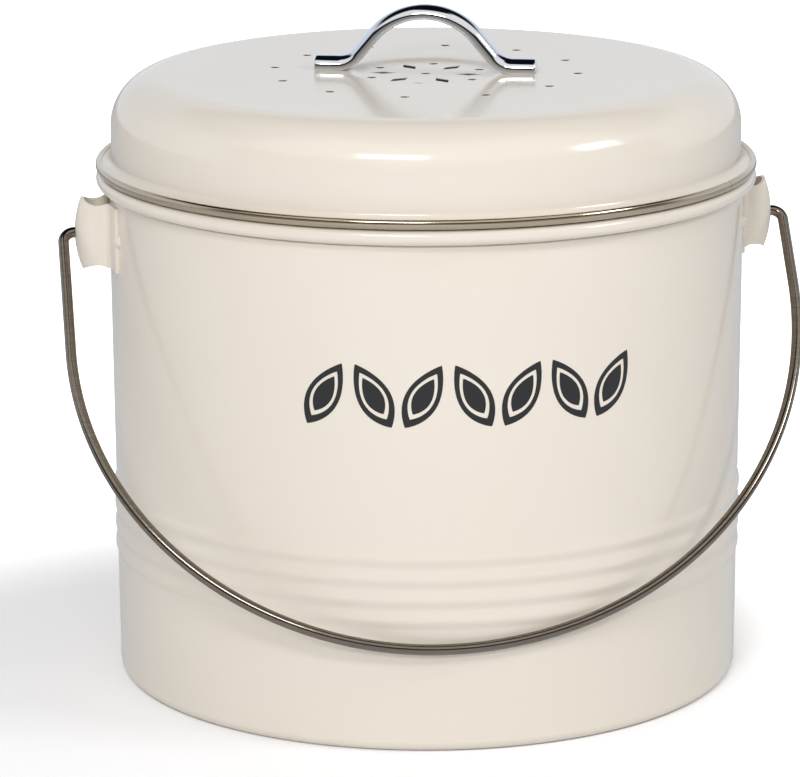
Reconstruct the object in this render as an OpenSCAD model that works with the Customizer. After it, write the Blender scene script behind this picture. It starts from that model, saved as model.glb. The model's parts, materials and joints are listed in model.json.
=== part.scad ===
// Round steel compost caddy with a lift-off lid, an inner bucket and a swinging carrying handle.
// Millimetres. +Z is up, the ears lie on the X axis and the front faces -Y.
// The origin is on the floor, on the axis of the round body.

/* [Body] */
// Outer radius of the wall, from the ears up
wall_r = 100; // [85:0.5:125]
// How much narrower the wall is at the floor
wall_taper = 0.85; // [0:0.05:3]
// Height of the wall up to the middle of its rolled edge
bead_z = 159.8; // [140:0.1:240]
// Radius of the rolled edge
bead_r = 2.3; // [1.8:0.1:3.5]
// Thickness of the steel sheet with its coating
sheet_t = 0.8; // [0.5:0.1:1.2]
// Rounding of the wall into the floor
base_corner_r = 3.5; // [2.5:0.1:8]
// Width of the flat hem that the body stands on
hem_w = 2.7; // [1.5:0.1:6]

/* [Ribs] */
// Number of swaged ribs round the lower wall
rib_count = 4; // [0:1:8]
// Height of the lowest rib's crest
rib_z = 41.8; // [30:0.1:60]
// Distance from rib to rib
rib_pitch = 6.4; // [4:0.1:9]
// How far a rib stands out of the wall
rib_depth = 0.6; // [0:0.05:1.2]

/* [Base pan] */
// How far the floor panel is raised above the hem
pan_raise = 2.4; // [0:0.1:5]
// Height of the pan's turned-up edge
pan_edge_h = 5.8; // [5:0.1:20]

/* [Ears] */
// How far the handle's pivot lies below the middle of the rolled edge
ear_drop = 16; // [14.5:0.1:40]
// How far the ear's face stands out of the wall
ear_out = 11.3; // [9:0.1:16]
// Width of the ear across its two sides
ear_w = 14; // [12:0.1:20]
// Height of the ear at its face
ear_h = 23.3; // [18:0.1:27]
// Thickness of the ear's sheet
ear_t = 1; // [0.6:0.1:1.4]
// Radius of the crown from the top of the ear to its foot
ear_crown_r = 31; // [24:0.5:60]
// How deep the rounded end of the ear is
ear_nose = 6; // [4:0.1:7]
// Bend radius where the ear turns on to the wall
ear_root_r = 2.6; // [1.5:0.1:3]
// How far the welded flanges reach to each side
ear_flange = 16; // [13:0.5:24]
// Height of the welded flanges
ear_flange_h = 20.4; // [14:0.1:23.5]
// How far the ear's edges are hollowed
ear_hollow = 2.2; // [0.5:0.1:3]
// Diameter of the weld bump on a flange
weld_d = 5; // [3:0.5:7]

/* [Carrying handle] */
// Diameter of the wire
bail_d = 3.4; // [2.5:0.1:4.5]
// Distance from the pivots to the far end of the loop
bail_reach = 150; // [145:0.5:170]
// Straight stretch of wire between the face of an ear and the bend
bail_out = 0.2; // [0.1:0.1:3]
// Bend radius of the wire beside the ears, to its middle
bail_bend_r = 3.5; // [2.5:0.1:6]
// How far the loop's far end lies to the left
bail_skew = 8; // [0:0.5:15]
// Running clearance of the wire in an ear, all round
bail_fit = 0.05; // [0.02:0.01:0.1]
// Gap between the resting loop and the wall
bail_rest_gap = 0.35; // [0.3:0.05:1]
// Diameter of the upset head inside the ear
bail_head_d = 5.6; // [5:0.1:7]
// Thickness of the upset head
bail_head_t = 1.4; // [0.8:0.1:2]

/* [Lid] */
// How far the lid's wall stands in from the body's wall
lid_inset = 0.8; // [0.5:0.1:3]
// Height of the lid from its flange to its top
lid_h = 28.1; // [25:0.1:60]
// Radius of the lid's shoulder
lid_shoulder_r = 16; // [6:0.5:19]
// Outer radius where the wall flares into the flange
lid_flare_r = 3; // [1.5:0.1:3.4]
// Flat margin between the slots and the slope round the dished middle
dish_margin = 1.7; // [1.5:0.1:2.1]
// Depth of the dished middle
dish_depth = 1; // [0:0.1:2]
// Turn of the lid on the body, degrees
lid_turn = -15.7; // [-90:0.1:90]
// Width of the bare steel ring on the lid's edge
ring_w = 2.1; // [1.6:0.1:2.4]
// How far the steel ring stands above the flange that it holds
ring_over = 1; // [0.6:0.1:2]
// Gap between the steel ring and the rolled edge
ring_gap = 0.4; // [0.3:0.05:0.8]
// Angle of the steel ring's butt seam on the lid, degrees
ring_seam_a = -18.6; // [-180:0.1:180]

/* [Vents] */
// Diameter of the round vent holes
vent_d = 3; // [1.5:0.1:4]
// Radius of the outer circle of holes
vent_ring_r = 48; // [40:0.5:52]
// Number of holes in the outer circle
vent_count = 12; // [6:1:18]
// Inner end of a slot, from the lid's middle
slot_in = 8.7; // [6:0.1:10]
// Outer end of a slot, from the lid's middle
slot_out = 18.3; // [14:0.1:18.4]
// Width of a slot across its middle
slot_w = 4.4; // [2:0.1:6]
// Number of slots
slot_count = 6; // [4:1:8]

/* [Lid handle] */
// Length over both feet
grip_len = 70; // [66:0.5:90]
// Width of the handle
grip_w = 8.5; // [6:0.1:12]
// Thickness of the handle
grip_t = 3.3; // [3.2:0.1:5]
// Height of the handle above the lid
grip_h = 21; // [18:0.1:22.5]
// Outer radius of the arch
grip_arch_r = 25; // [24:0.1:26]
// Radius of the bends at the feet, to the middle
grip_bend_r = 3; // [2.5:0.1:5]
// Distance from a screw to the end of its foot
screw_inset = 5.5; // [4.5:0.1:6.5]
// Diameter of the screws
screw_d = 3.9; // [3:0.1:4]

/* [Inner bucket] */
// Wall of the inner bucket
bucket_t = 1.6; // [1:0.1:3]
// Gap between the inner bucket and the outer wall at the top
bucket_gap = 1.2; // [1:0.1:3]
// How much narrower the inner bucket is at its floor
bucket_taper = 6; // [2:0.5:12]
// Thickness of the inner bucket's lip
lip_t = 1.4; // [1:0.1:2.5]
// Gap under the inner bucket's floor
bucket_float = 2.2; // [1:0.1:10]

/* [Filter] */
// Radius of the charcoal filter
filter_r = 57.6; // [54:0.1:64]
// Thickness of the charcoal filter
filter_t = 8; // [4:0.5:12]
// Wall of the filter's holder
holder_t = 2; // [1.6:0.1:3]
// Number of spokes in the holder
spoke_count = 6; // [3:1:8]
// Width of the openings in the filter's cover
grille_gap = 5; // [3:0.5:7]
// Width of the bars in the filter's cover
grille_bar = 3; // [2:0.5:5]

/* [Hidden] */
$fn = 96;
part_gap = 0.3;   // free space between pieces that move apart
rest_gap = 0.1;   // free space where one piece sits on another
nest_fit = 0.05;  // free space where one piece is pressed into another
over = 1;         // how far a cut runs past the surface that it opens
arc_steps = 10;   // straight stretches in a quarter round of a sheet's outline

// Body
base_r = wall_r - wall_taper;
ear_z = bead_z - ear_drop;
ear_band_z = ear_z - ear_h / 2 - 4;        // the wall is straight above this height
bead_sheet_r = bead_r - sheet_t / 2;       // the curl, to the middle of its sheet
bead_lean = 0.25;                          // the wall leans out under the curl
bead_neck = 1.6;                           // height of that leaning neck
bead_end_a = -125;                         // direction in which the curl's free edge lies
bead_x = wall_r - sheet_t / 2 + bead_sheet_r + bead_lean;
rim_z = bead_z + bead_r;
function wall_r_at(z) = z > ear_band_z ? wall_r : base_r + wall_taper * z / ear_band_z;

// Ears
ear_face_x = wall_r + ear_out;
ear_axis_x = ear_face_x - ear_crown_r;     // middle of the crown's circle
ear_join_x = wall_r + ear_root_r + ear_t;  // where the bends end and the rounded face begins
flange_a = asin(ear_flange / wall_r);      // from the middle of an ear to its flanges' edges
weld_rise = 0.5;

// Carrying handle. s runs from the pivots to the far end of the loop.
bail_r = bail_d / 2;
leg_x = ear_face_x + bail_out + bail_bend_r;
left_r = leg_x - bail_skew;
right_r = leg_x + bail_skew;
left_s = bail_reach - left_r;
right_s = bail_reach - right_r;
touch_r = wall_r_at(ear_z - sqrt(pow(bail_reach, 2) - pow(wall_r, 2))) + bail_r + bail_rest_gap;
function loop_x(a) = a < 0 ? -bail_skew + left_r * sin(a) : -bail_skew + right_r * sin(a);
function loop_s(a) = a < 0 ? left_s + left_r * cos(a) : right_s + right_r * cos(a);
// The loop leans on the wall where it first comes within reach of it, near its far end
lean_a = 30;
bail_tilt = asin(max([for (a = [-lean_a:1:lean_a])
    sqrt(pow(touch_r, 2) - pow(loop_x(a), 2)) / loop_s(a)]));
head_gap = 1.2;                            // between a head and the ear's sheet
head_x = ear_face_x - ear_t - head_gap - bail_head_t;

// Inner bucket
bucket_r = wall_r - sheet_t - bucket_gap;
lip_z = rim_z + rest_gap;
lip_top = lip_z + lip_t;
bucket_z = sheet_t * 2 + pan_raise + bucket_float;

// Lid
flange_z = lip_top + rest_gap;             // underside of the flange
lid_top = flange_z + sheet_t / 2 + lid_h;
lid_under = lid_top - sheet_t;
lid_r = wall_r - lid_inset;
lid_sheet_r = lid_r - sheet_t / 2;
ring_proud = 0.1;                          // the steel ring stands out past the rolled edge
ring_r = bead_x + bead_r + ring_proud;
ring_in = ring_r - ring_w;
ring_z = rim_z + ring_gap;
ring_h = flange_z + sheet_t + ring_over - ring_z;
flange_bite = ring_w / 2 - 0.2;            // how deep the flange sits in the steel ring
flange_r = ring_in + flange_bite;
// The flare, to the middle of its sheet, ends where the steel ring begins
flare_r = min(lid_flare_r + sheet_t / 2, ring_in + 0.2 - lid_sheet_r);
lip_r = ring_in - part_gap;
dish_r = slot_out + dish_margin;
dish_slope = 4.6;

// Lid handle and its screws
arch_r = grip_arch_r - grip_t / 2;         // to the middle of the strap
arch_z = lid_top + grip_h - grip_arch_r;
foot_z = lid_top + grip_t / 2;
bend_z = foot_z + grip_bend_r;
bend_x = sqrt(pow(arch_r + grip_bend_r, 2) - pow(bend_z - arch_z, 2));
bend_a = acos((bend_z - arch_z) / (arch_r + grip_bend_r));
grip_chamfer = 0.5;
screw_x = grip_len / 2 - screw_inset;
screw_hole_d = screw_d + 0.4;
screw_bite = 2.4;                          // how far a screw goes into its foot
screw_head_d = 7.2;
screw_head_h = 2.2;
washer_d = 8.8;
washer_t = 0.8;

// Collar inside the lid
collar_t = 0.6;
collar_gap = 0.8;                          // between the collar and the inner bucket
collar_r = bucket_r - bucket_t - collar_gap - collar_t / 2;
collar_land_r = lid_r - sheet_t - collar_t / 2;
collar_drop = 10.6;                        // how far it reaches down inside the inner bucket
collar_knee_z = lip_top + 0.6;             // where it begins to widen towards the lid's wall
collar_land_z = flange_z + 4.8;
collar_land_h = 4.5;

// Filter
seat_t = dish_depth + 0.5;                 // the bosses' seats, which clear the dish
spoke_t = 2;
spoke_w = 4;
spider_ring_w = 7;
spider_top = lid_under - seat_t;
boss_wall = 1.8;
boss_floor = 1.2;                          // what is left of a boss above its washer
boss_r = washer_d / 2 + boss_wall;
washer_play = 0.6;
washer_z = spider_top - boss_floor - washer_t;
boss_z = washer_z - screw_head_h;
filter_top = boss_z - part_gap;
filter_z = filter_top - filter_t;
filter_play = 0.8;
holder_r = filter_r + filter_play;         // inside of the holder's wall
holder_z = filter_z + 0.5;                 // lower edge of the holder's wall
cover_fit = 0.35;
cover_r = holder_r + holder_t + cover_fit; // inside of the cover's skirt
cover_t = 2;
skirt_t = 1.8;
skirt_h = 7.6;
grille_edge = 4;                           // closed border round the grille
pitch = grille_gap + grille_bar;

cream = [0.91, 0.88, 0.84];
steel = [0.75, 0.74, 0.72];
black = [0.1, 0.1, 0.1];

function dir(a) = [cos(a), sin(a)];
// Points on an arc of radius r about c, from angle a to angle b
function arc(c, r, a, b, n = arc_steps) = [for (i = [0:n]) c + r * dir(a + (b - a) * i / n)];
// Points on a smooth step from p to q: rise runs along x when flat is true, else along y
function ease(p, q, flat = true, n = arc_steps) =
    [for (i = [1:n - 1]) let (k = i / n, e = (1 - cos(180 * k)) / 2)
        flat ? [p.x + (q.x - p.x) * k, p.y + (q.y - p.y) * e]
             : [p.x + (q.x - p.x) * e, p.y + (q.y - p.y) * k]];
// The unit vector to the left of the stretch from p to q
function left_of(p, q) = let (d = (q - p) / norm(q - p)) [-d.y, d.x];
// From point i of a path to where the two sheet faces beside it meet, half a thickness to the left
function beside(path, i, t) =
    let (last = len(path) - 1,
        before = left_of(path[max(i - 1, 0)], path[max(i, 1)]),
        after = left_of(path[min(i, last - 1)], path[min(i + 1, last)]))
        (before + after) / (1 + before * after) * t / 2;

// The section of a sheet of thickness t whose middle follows a path
module section(path, t) {
    last = len(path) - 1;
    polygon([
        for (i = [0:last]) path[i] + beside(path, i, t),
        for (i = [last:-1:0]) path[i] - beside(path, i, t)
    ]);
}

module revolve(path, t) {
    rotate_extrude($fn = 180) section(path, t);
}

// Radius of the middle of the wall's sheet, with the ribs as waves
function rib_rise(z) =
    let (k = (z - rib_z) / rib_pitch)
        k > -0.5 && k < rib_count - 0.5 ? rib_depth * (1 + cos(360 * k)) / 2 : 0;
function wall_mid(z) = wall_r_at(z) - sheet_t / 2 + rib_rise(z);

module wall_shell() {
    corner = [base_r - base_corner_r, base_corner_r];
    rib_low = rib_z - rib_pitch / 2;
    rib_steps = 10 * rib_count;
    color(cream) revolve([
        [corner.x - hem_w, sheet_t / 2],
        each arc(corner, base_corner_r - sheet_t / 2, -90, 0, 8),
        for (i = [0:rib_steps]) let (z = rib_low + i * rib_pitch / 10) [wall_mid(z), z],
        [wall_mid(ear_band_z), ear_band_z + 0.01],
        [wall_mid(bead_z), bead_z - bead_r - bead_neck],
        each arc([bead_x, bead_z], bead_sheet_r, 180, bead_end_a, 3 * arc_steps)
    ], sheet_t);
}

module base_pan() {
    pan_step = 2.5;                        // how much wider the step is than it is high
    pan_corner_r = base_corner_r - sheet_t * 1.5 - nest_fit;
    corner = [base_r - base_corner_r - nest_fit, sheet_t * 1.5 + pan_corner_r];
    low = [corner.x - hem_w, sheet_t * 1.5];
    high = [low.x - pan_step - pan_raise, low.y + pan_raise];
    color(cream) revolve([
        [0, high.y], high,
        each ease(high, low), low,
        each arc(corner, pan_corner_r, -90, 0, 8),
        [corner.x + pan_corner_r, pan_edge_h]
    ], sheet_t);
}

// Plan of the rounded face and sides: the middle of the sheet, sides running in past the wall
function ear_plan(inset) =
    let (x = ear_face_x - inset - ear_nose, y = ear_w / 2 - inset)
        [for (a = [-90:9:90]) [x + ear_nose * cos(a), y * sin(a)]];

// The ear's form, solid, inset from its outside
module ear_form(inset) {
    back = ear_axis_x + over;
    translate([ear_axis_x, 0, ear_z]) rotate([90, 0, 0]) rotate_extrude($fn = 120)
        translate([-ear_axis_x, 0]) polygon([
            [back, -ear_w / 2 + inset], each ear_plan(inset), [back, ear_w / 2 - inset]
        ]);
}

// The bend on to the wall and the flange, seen from above, on one side. The inner edge runs on
// past the wall's surface, which cuts it.
module ear_root() {
    inner_r = ear_root_r + ear_t;
    bend_y = ear_w / 2 + ear_root_r;
    bend = [sqrt(pow(wall_r + inner_r, 2) - pow(bend_y, 2)), bend_y];
    near_a = atan2(bend.y, bend.x);
    buried_r = wall_r - over;
    buried_a = 14;                         // the inner bend runs on this far below the surface
    polygon([
        for (i = [0:6]) (wall_r + ear_t) * dir(flange_a + (near_a - flange_a) * i / 6),
        for (i = [1:8]) bend + ear_root_r * dir(180 + near_a + (90 - near_a) * i / 8),
        [ear_join_x + 0.5, ear_w / 2], [ear_join_x + 0.5, ear_w / 2 - ear_t],
        each arc(bend, inner_r, 270, 180 + buried_a + near_a, 8),
        buried_r * dir(near_a - 0.5), buried_r * dir(flange_a)
    ]);
}

module ear() {
    top_x = ear_axis_x + sqrt(pow(ear_crown_r, 2) - pow(ear_h / 2, 2));
    half_span = (top_x - wall_r) / 2;
    hollow_r = (pow(half_span, 2) + pow(ear_hollow, 2)) / (2 * ear_hollow);
    difference() {
        union() {
            intersection() {
                difference() {
                    ear_form(0);
                    ear_form(ear_t);
                }
                translate([ear_join_x, -ear_w, ear_z - ear_h / 2]) cube([ear_out, ear_w * 2, ear_h]);
            }
            for (s = [0, 1]) mirror([0, s, 0]) {
                translate([0, 0, ear_z - ear_flange_h / 2]) linear_extrude(ear_flange_h) ear_root();
                rotate([0, 0, flange_a]) translate([wall_r - weld_d / 2 + ear_t + weld_rise, 0, ear_z])
                    sphere(d = weld_d, $fn = 40);
            }
        }
        // hollowed upper and lower edges
        for (s = [-1, 1])
            translate([wall_r + half_span, 0, ear_z + s * (ear_h / 2 - ear_hollow + hollow_r)])
                rotate([90, 0, 0]) cylinder(r = hollow_r, h = ear_w + ear_t, center = true);
        cylinder(r = wall_r, h = bead_z);
        translate([ear_join_x, 0, ear_z]) rotate([0, 90, 0]) cylinder(r = bail_r + bail_fit, h = ear_out);
    }
}

module right_ear() {
    color(cream) ear();
}

module left_ear() {
    color(cream) mirror([1, 0, 0]) ear();
}

// A quarter of the loop: a round wire of bend radius r about [x, s], from angle a
module wire_arc(x, s, r, a) {
    translate([x, 0, -s]) rotate([90, 0, 0]) rotate([0, 0, a]) rotate_extrude(angle = 90, $fn = 180)
        translate([r, 0]) circle(r = bail_r, $fn = 36);
}

module wire_leg(side, arc_s) {
    translate([side * leg_x, 0, -arc_s]) cylinder(r = bail_r, h = arc_s - bail_bend_r, $fn = 36);
    translate([side * (leg_x - bail_bend_r), 0, -bail_bend_r]) rotate([90, 0, 0])
        rotate([0, 0, side > 0 ? 0 : 90]) rotate_extrude(angle = 90, $fn = 60)
            translate([bail_bend_r, 0]) circle(r = bail_r, $fn = 36);
    rotate([0, side * 90, 0]) {
        translate([0, 0, head_x]) cylinder(r = bail_r, h = leg_x - bail_bend_r - head_x, $fn = 36);
        translate([0, 0, head_x]) cylinder(d = bail_head_d, h = bail_head_t, $fn = 36);
    }
}

module bail_wire() {
    color(steel) translate([0, 0, ear_z]) rotate([-bail_tilt, 0, 0]) {
        wire_arc(-bail_skew, left_s, left_r, 180);
        wire_arc(-bail_skew, right_s, right_r, 270);
        wire_leg(-1, left_s);
        wire_leg(1, right_s);
    }
}

module inner_bucket() {
    foot_r = bucket_r - bucket_taper;
    corner_r = 5;
    color([0.2, 0.2, 0.21]) rotate_extrude($fn = 180) polygon([
        [0, bucket_z],
        each arc([foot_r - corner_r, bucket_z + corner_r], corner_r, -90, 0, 6),
        [bucket_r, lip_z], [lip_r - lip_t / 2, lip_z],
        each arc([lip_r - lip_t / 2, lip_z + lip_t / 2], lip_t / 2, -60, 60, 4),
        [lip_r - lip_t / 2, lip_top], [bucket_r - bucket_t, lip_top],
        each arc([foot_r - corner_r, bucket_z + corner_r], corner_r - bucket_t, 0, -90, 6),
        [0, bucket_z + bucket_t]
    ]);
}

module on_lid() {
    rotate([0, 0, lid_turn]) children();
}

// A four-cornered slot, wide at its middle
module slot() {
    mid = (slot_in + slot_out) / 2;
    linear_extrude(lid_top + over) polygon([
        [slot_in, 0], [mid, slot_w / 2], [slot_out, 0], [mid, -slot_w / 2]
    ]);
}

module vents() {
    cylinder(d = vent_d, h = lid_top + over, $fn = 24);
    for (i = [0:slot_count - 1]) rotate([0, 0, i * 360 / slot_count]) {
        slot();
        rotate([0, 0, 180 / slot_count]) translate([slot_out, 0, 0])
            cylinder(d = vent_d, h = lid_top + over, $fn = 24);
    }
    for (i = [0:vent_count - 1]) rotate([0, 0, i * 360 / vent_count])
        translate([vent_ring_r, 0, 0]) cylinder(d = vent_d, h = lid_top + over, $fn = 24);
}

module screw_places() {
    for (s = [-1, 1]) translate([s * screw_x, 0, 0]) children();
}

module lid_shell() {
    top = lid_top - sheet_t / 2;
    dish = [dish_r, top - dish_depth];
    rim = [dish_r + dish_slope, top];
    color(cream) on_lid() difference() {
        revolve([
            [0, dish.y], dish, each ease(dish, rim), rim,
            each arc([lid_r - lid_shoulder_r, lid_top - lid_shoulder_r],
                lid_shoulder_r - sheet_t / 2, 90, 0, 2 * arc_steps),
            each arc([lid_sheet_r + flare_r, flange_z + sheet_t / 2 + flare_r], flare_r, 180, 270),
            [flange_r, flange_z + sheet_t / 2]
        ], sheet_t);
        vents();
        screw_places() cylinder(d = screw_hole_d, h = lid_top + over, $fn = 32);
    }
}

module rim_ring() {
    round_r = ring_w / 2 - 0.1;            // nearly a half round, above and below
    seam_w = 0.2;
    color(steel) on_lid() difference() {
        rotate_extrude($fn = 180) difference() {
            polygon([
                each arc([ring_r - round_r, ring_z + ring_h - round_r], round_r, 0, 90, 8),
                each arc([ring_in + round_r, ring_z + ring_h - round_r], round_r, 90, 180, 8),
                each arc([ring_in + round_r, ring_z + round_r], round_r, 180, 270, 8),
                each arc([ring_r - round_r, ring_z + round_r], round_r, 270, 360, 8)
            ]);
            translate([0, flange_z - nest_fit]) square([flange_r + nest_fit, sheet_t + 2 * nest_fit]);
        }
        rotate([0, 0, ring_seam_a]) translate([0, -seam_w / 2, ring_z - over])
            cube([ring_r + over, seam_w, ring_h + 2 * over]);
    }
}

// The handle's section: flat underneath, crowned on top. x is across, y is up.
function grip_shape() = let (side_h = grip_t * 0.42, crown = grip_t - side_h, corner = 0.4, full = 0.8) [
        [-grip_w / 2 + corner, -grip_t / 2], [grip_w / 2 - corner, -grip_t / 2],
        [grip_w / 2, -grip_t / 2 + corner],
        for (a = [0:12:180]) [grip_w / 2 * cos(a), side_h - grip_t / 2 + crown * pow(sin(a), full)],
        [-grip_w / 2, -grip_t / 2 + corner]
    ];

// Middle of the strap from foot to foot: [x, z] points
function grip_path() = let (
        out = grip_len / 2,
        bend = [bend_x, bend_z],
        half = [
            each arc([0, arch_z], arch_r, 90, 90 - bend_a, 10),
            each [for (i = [1:5]) bend + grip_bend_r * dir(270 - bend_a + bend_a * i / 5)],
            [out - grip_chamfer, foot_z], [out, foot_z]
        ])
    [for (i = [len(half) - 1:-1:1]) [-half[i].x, half[i].y], each half];

// A section swept along a path in the XZ plane, drawn in at both ends
module sweep(path, shape) {
    last = len(path) - 1;
    n = len(shape);
    rings = [for (i = [0:last]) let (
            side = beside(path, i, 2),
            k = i == 0 || i == last ? 1 - 2 * grip_chamfer / grip_t : 1,
            kw = i == 0 || i == last ? 1 - 2 * grip_chamfer / grip_w : 1)
        each [for (p = shape) [path[i].x + side.x * p.y * k, p.x * kw, path[i].y + side.y * p.y * k]]];
    polyhedron(rings, [
        [for (j = [0:n - 1]) j],
        for (i = [0:last - 1], j = [0:n - 1])
            [i * n + j, (i + 1) * n + j, (i + 1) * n + (j + 1) % n, i * n + (j + 1) % n],
        [for (j = [n - 1:-1:0]) last * n + j]
    ]);
}

module lid_handle() {
    bore_spare = 0.2;                      // the bore is this much deeper than its screw
    color([0.86, 0.86, 0.87]) on_lid() difference() {
        sweep(grip_path(), grip_shape());
        screw_places() translate([0, 0, lid_top - over])
            cylinder(d = screw_d + 2 * nest_fit, h = over + screw_bite + bore_spare, $fn = 32);
    }
}

module handle_screws() {
    drive_w = 1;
    drive_h = 1;
    color(steel) on_lid() screw_places() difference() {
        union() {
            translate([0, 0, boss_z]) cylinder(d = screw_head_d, h = screw_head_h, $fn = 40);
            translate([0, 0, boss_z]) cylinder(d = screw_d, h = lid_top + screw_bite - boss_z, $fn = 32);
        }
        translate([-screw_head_d, -drive_w / 2, boss_z - over])
            cube([screw_head_d * 2, drive_w, drive_h + over]);
    }
}

module screw_washers() {
    color(steel) on_lid() screw_places() translate([0, 0, washer_z]) difference() {
        cylinder(d = washer_d, h = washer_t, $fn = 40);
        translate([0, 0, -over]) cylinder(d = screw_hole_d, h = washer_t + 2 * over, $fn = 32);
    }
}

module lid_collar() {
    low = [collar_r, lip_top - collar_drop];
    knee = [collar_r, collar_knee_z];
    land = [collar_land_r, collar_land_z];
    color(steel) on_lid() revolve([
        low, knee, each ease(knee, land, false), land, [land.x, land.y + collar_land_h]
    ], collar_t);
}

// The holder's wall, and the spider that the screws hold: an inner ring with two bosses and spokes
module filter_holder() {
    spoke_from = screw_x + 2;              // inside the inner ring
    spoke_to = holder_r + holder_t / 2;
    color(black) on_lid() difference() {
        union() {
            translate([0, 0, holder_z]) difference() {
                cylinder(r = holder_r + holder_t, h = lid_under - holder_z, $fn = 120);
                translate([0, 0, -over]) cylinder(r = holder_r, h = lid_under, $fn = 120);
            }
            translate([0, 0, spider_top - spoke_t]) {
                difference() {
                    cylinder(r = screw_x + spider_ring_w / 2, h = spoke_t);
                    translate([0, 0, -over])
                        cylinder(r = screw_x - spider_ring_w / 2, h = spoke_t + 2 * over);
                }
                for (i = [0:spoke_count - 1]) rotate([0, 0, (i + 0.5) * 360 / spoke_count])
                    translate([spoke_from, -spoke_w / 2, 0]) cube([spoke_to - spoke_from, spoke_w, spoke_t]);
            }
            screw_places() {
                translate([0, 0, boss_z]) cylinder(r = boss_r, h = spider_top - boss_z);
                translate([0, 0, spider_top - over]) cylinder(d = washer_d, h = seat_t + over);
            }
        }
        screw_places() {
            translate([0, 0, boss_z - over])
                cylinder(d = washer_d + washer_play, h = washer_z + washer_t - boss_z + over);
            translate([0, 0, boss_z]) cylinder(d = screw_hole_d, h = lid_top);
        }
    }
}

// Openings of the grille that lie within radius r, in two halves either side of a middle bar
module grille_slots(r) {
    rows = floor((r - grille_gap / 2) / pitch);
    from_x = pitch / 2;
    for (i = [-rows:rows], s = [0, 1]) mirror([s, 0]) let (y = i * pitch)
        translate([from_x, y - grille_gap / 2])
            square([sqrt(pow(r, 2) - pow(abs(y) + grille_gap / 2, 2)) - from_x, grille_gap]);
}

module filter_cover() {
    floor_z = filter_z - cover_t;
    color(black) on_lid() difference() {
        translate([0, 0, floor_z]) cylinder(r = cover_r + skirt_t, h = skirt_h, $fn = 120);
        translate([0, 0, filter_z]) cylinder(r = cover_r, h = skirt_h, $fn = 120);
        translate([0, 0, floor_z - over]) linear_extrude(cover_t + 2 * over)
            grille_slots(filter_r - grille_edge);
    }
}

module charcoal_filter() {
    color([0.16, 0.16, 0.17]) on_lid() translate([0, 0, filter_z])
        cylinder(r = filter_r, h = filter_t, $fn = 120);
}

wall_shell();
base_pan();
left_ear();
right_ear();
bail_wire();
inner_bucket();
lid_shell();
rim_ring();
lid_handle();
handle_screws();
screw_washers();
lid_collar();
filter_holder();
filter_cover();
charcoal_filter();
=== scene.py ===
"""Dresses a round steel compost caddy: coated steel, bright trim, a plastic bucket and a filter.

Sizes are given in millimetres, as on the maker's drawing, and the meshes are made in metres.
"""

import json
import logging
import math
from collections.abc import Iterable, Sequence
from dataclasses import dataclass
from enum import Enum
from typing import Any

import bmesh
import bpy
from mathutils import Matrix, Vector


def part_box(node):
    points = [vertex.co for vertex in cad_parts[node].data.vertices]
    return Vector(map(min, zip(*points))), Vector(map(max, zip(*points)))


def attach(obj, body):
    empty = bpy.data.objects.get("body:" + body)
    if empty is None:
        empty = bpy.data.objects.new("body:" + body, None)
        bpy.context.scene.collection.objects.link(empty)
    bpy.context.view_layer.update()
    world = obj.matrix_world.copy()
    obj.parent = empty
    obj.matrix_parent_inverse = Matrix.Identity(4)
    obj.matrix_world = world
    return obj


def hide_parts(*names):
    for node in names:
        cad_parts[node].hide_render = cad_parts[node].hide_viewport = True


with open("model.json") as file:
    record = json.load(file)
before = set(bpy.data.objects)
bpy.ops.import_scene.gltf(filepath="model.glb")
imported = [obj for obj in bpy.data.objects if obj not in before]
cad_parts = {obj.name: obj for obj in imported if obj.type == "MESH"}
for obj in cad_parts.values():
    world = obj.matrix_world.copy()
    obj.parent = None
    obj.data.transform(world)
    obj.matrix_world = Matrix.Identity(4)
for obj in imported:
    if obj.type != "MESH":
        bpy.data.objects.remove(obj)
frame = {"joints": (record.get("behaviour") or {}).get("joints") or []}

log = logging.getLogger("caddy")
MM = 0.001
TURN = 2 * math.pi
Point = tuple[float, float]
Outline = list[Point]
Mesh = bpy.types.Mesh

SEGMENTS = 288  # facets round a large piece
WELD = 0.002 * MM  # points closer than this are one
PUNCH_DEPTH = 20 * MM  # through any sheet of the caddy
WIRE_THICKNESS = "wire_thickness"


class Body(Enum):
    """The bodies that move apart."""

    CADDY = "caddy"
    BAIL = "bail"
    BUCKET = "bucket"
    LID = "lid"
    FILTER = "filter"


class Slot(Enum):
    """The places that a finish could be swapped in; no piece is given one here."""

    BODY_COATING = "body_coating"
    LID_COATING = "lid_coating"
    HANDLE_WIRE = "handle_wire"
    RIM_STEEL = "rim_steel"
    HANDLE_CHROME = "handle_chrome"
    SCREW_STEEL = "screw_steel"
    COLLAR_STEEL = "collar_steel"
    BUCKET_PLASTIC = "bucket_plastic"
    FILTER_PLASTIC = "filter_plastic"
    FILTER_FELT = "filter_felt"


# ---------------------------------------------------------------- outlines, in millimetres


def arc(centre: Point, radius: float, start: float, end: float, steps: int = 16) -> Outline:
    """Points on a circular arc.

    Args:
        centre: the middle of the circle.
        radius: its radius.
        start: the first point's direction, degrees.
        end: the last point's direction, degrees.
        steps: stretches between the points.

    Returns:
        The points in order.
    """
    angles = [math.radians(start + (end - start) * i / steps) for i in range(steps + 1)]
    return [(centre[0] + radius * math.cos(a), centre[1] + radius * math.sin(a)) for a in angles]


def circle(diameter: float, sides: int = 40) -> Outline:
    """The corners of a round outline, counter-clockwise."""
    return arc((0, 0), diameter / 2, 0, 360 - 360 / sides, sides - 1)


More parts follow.
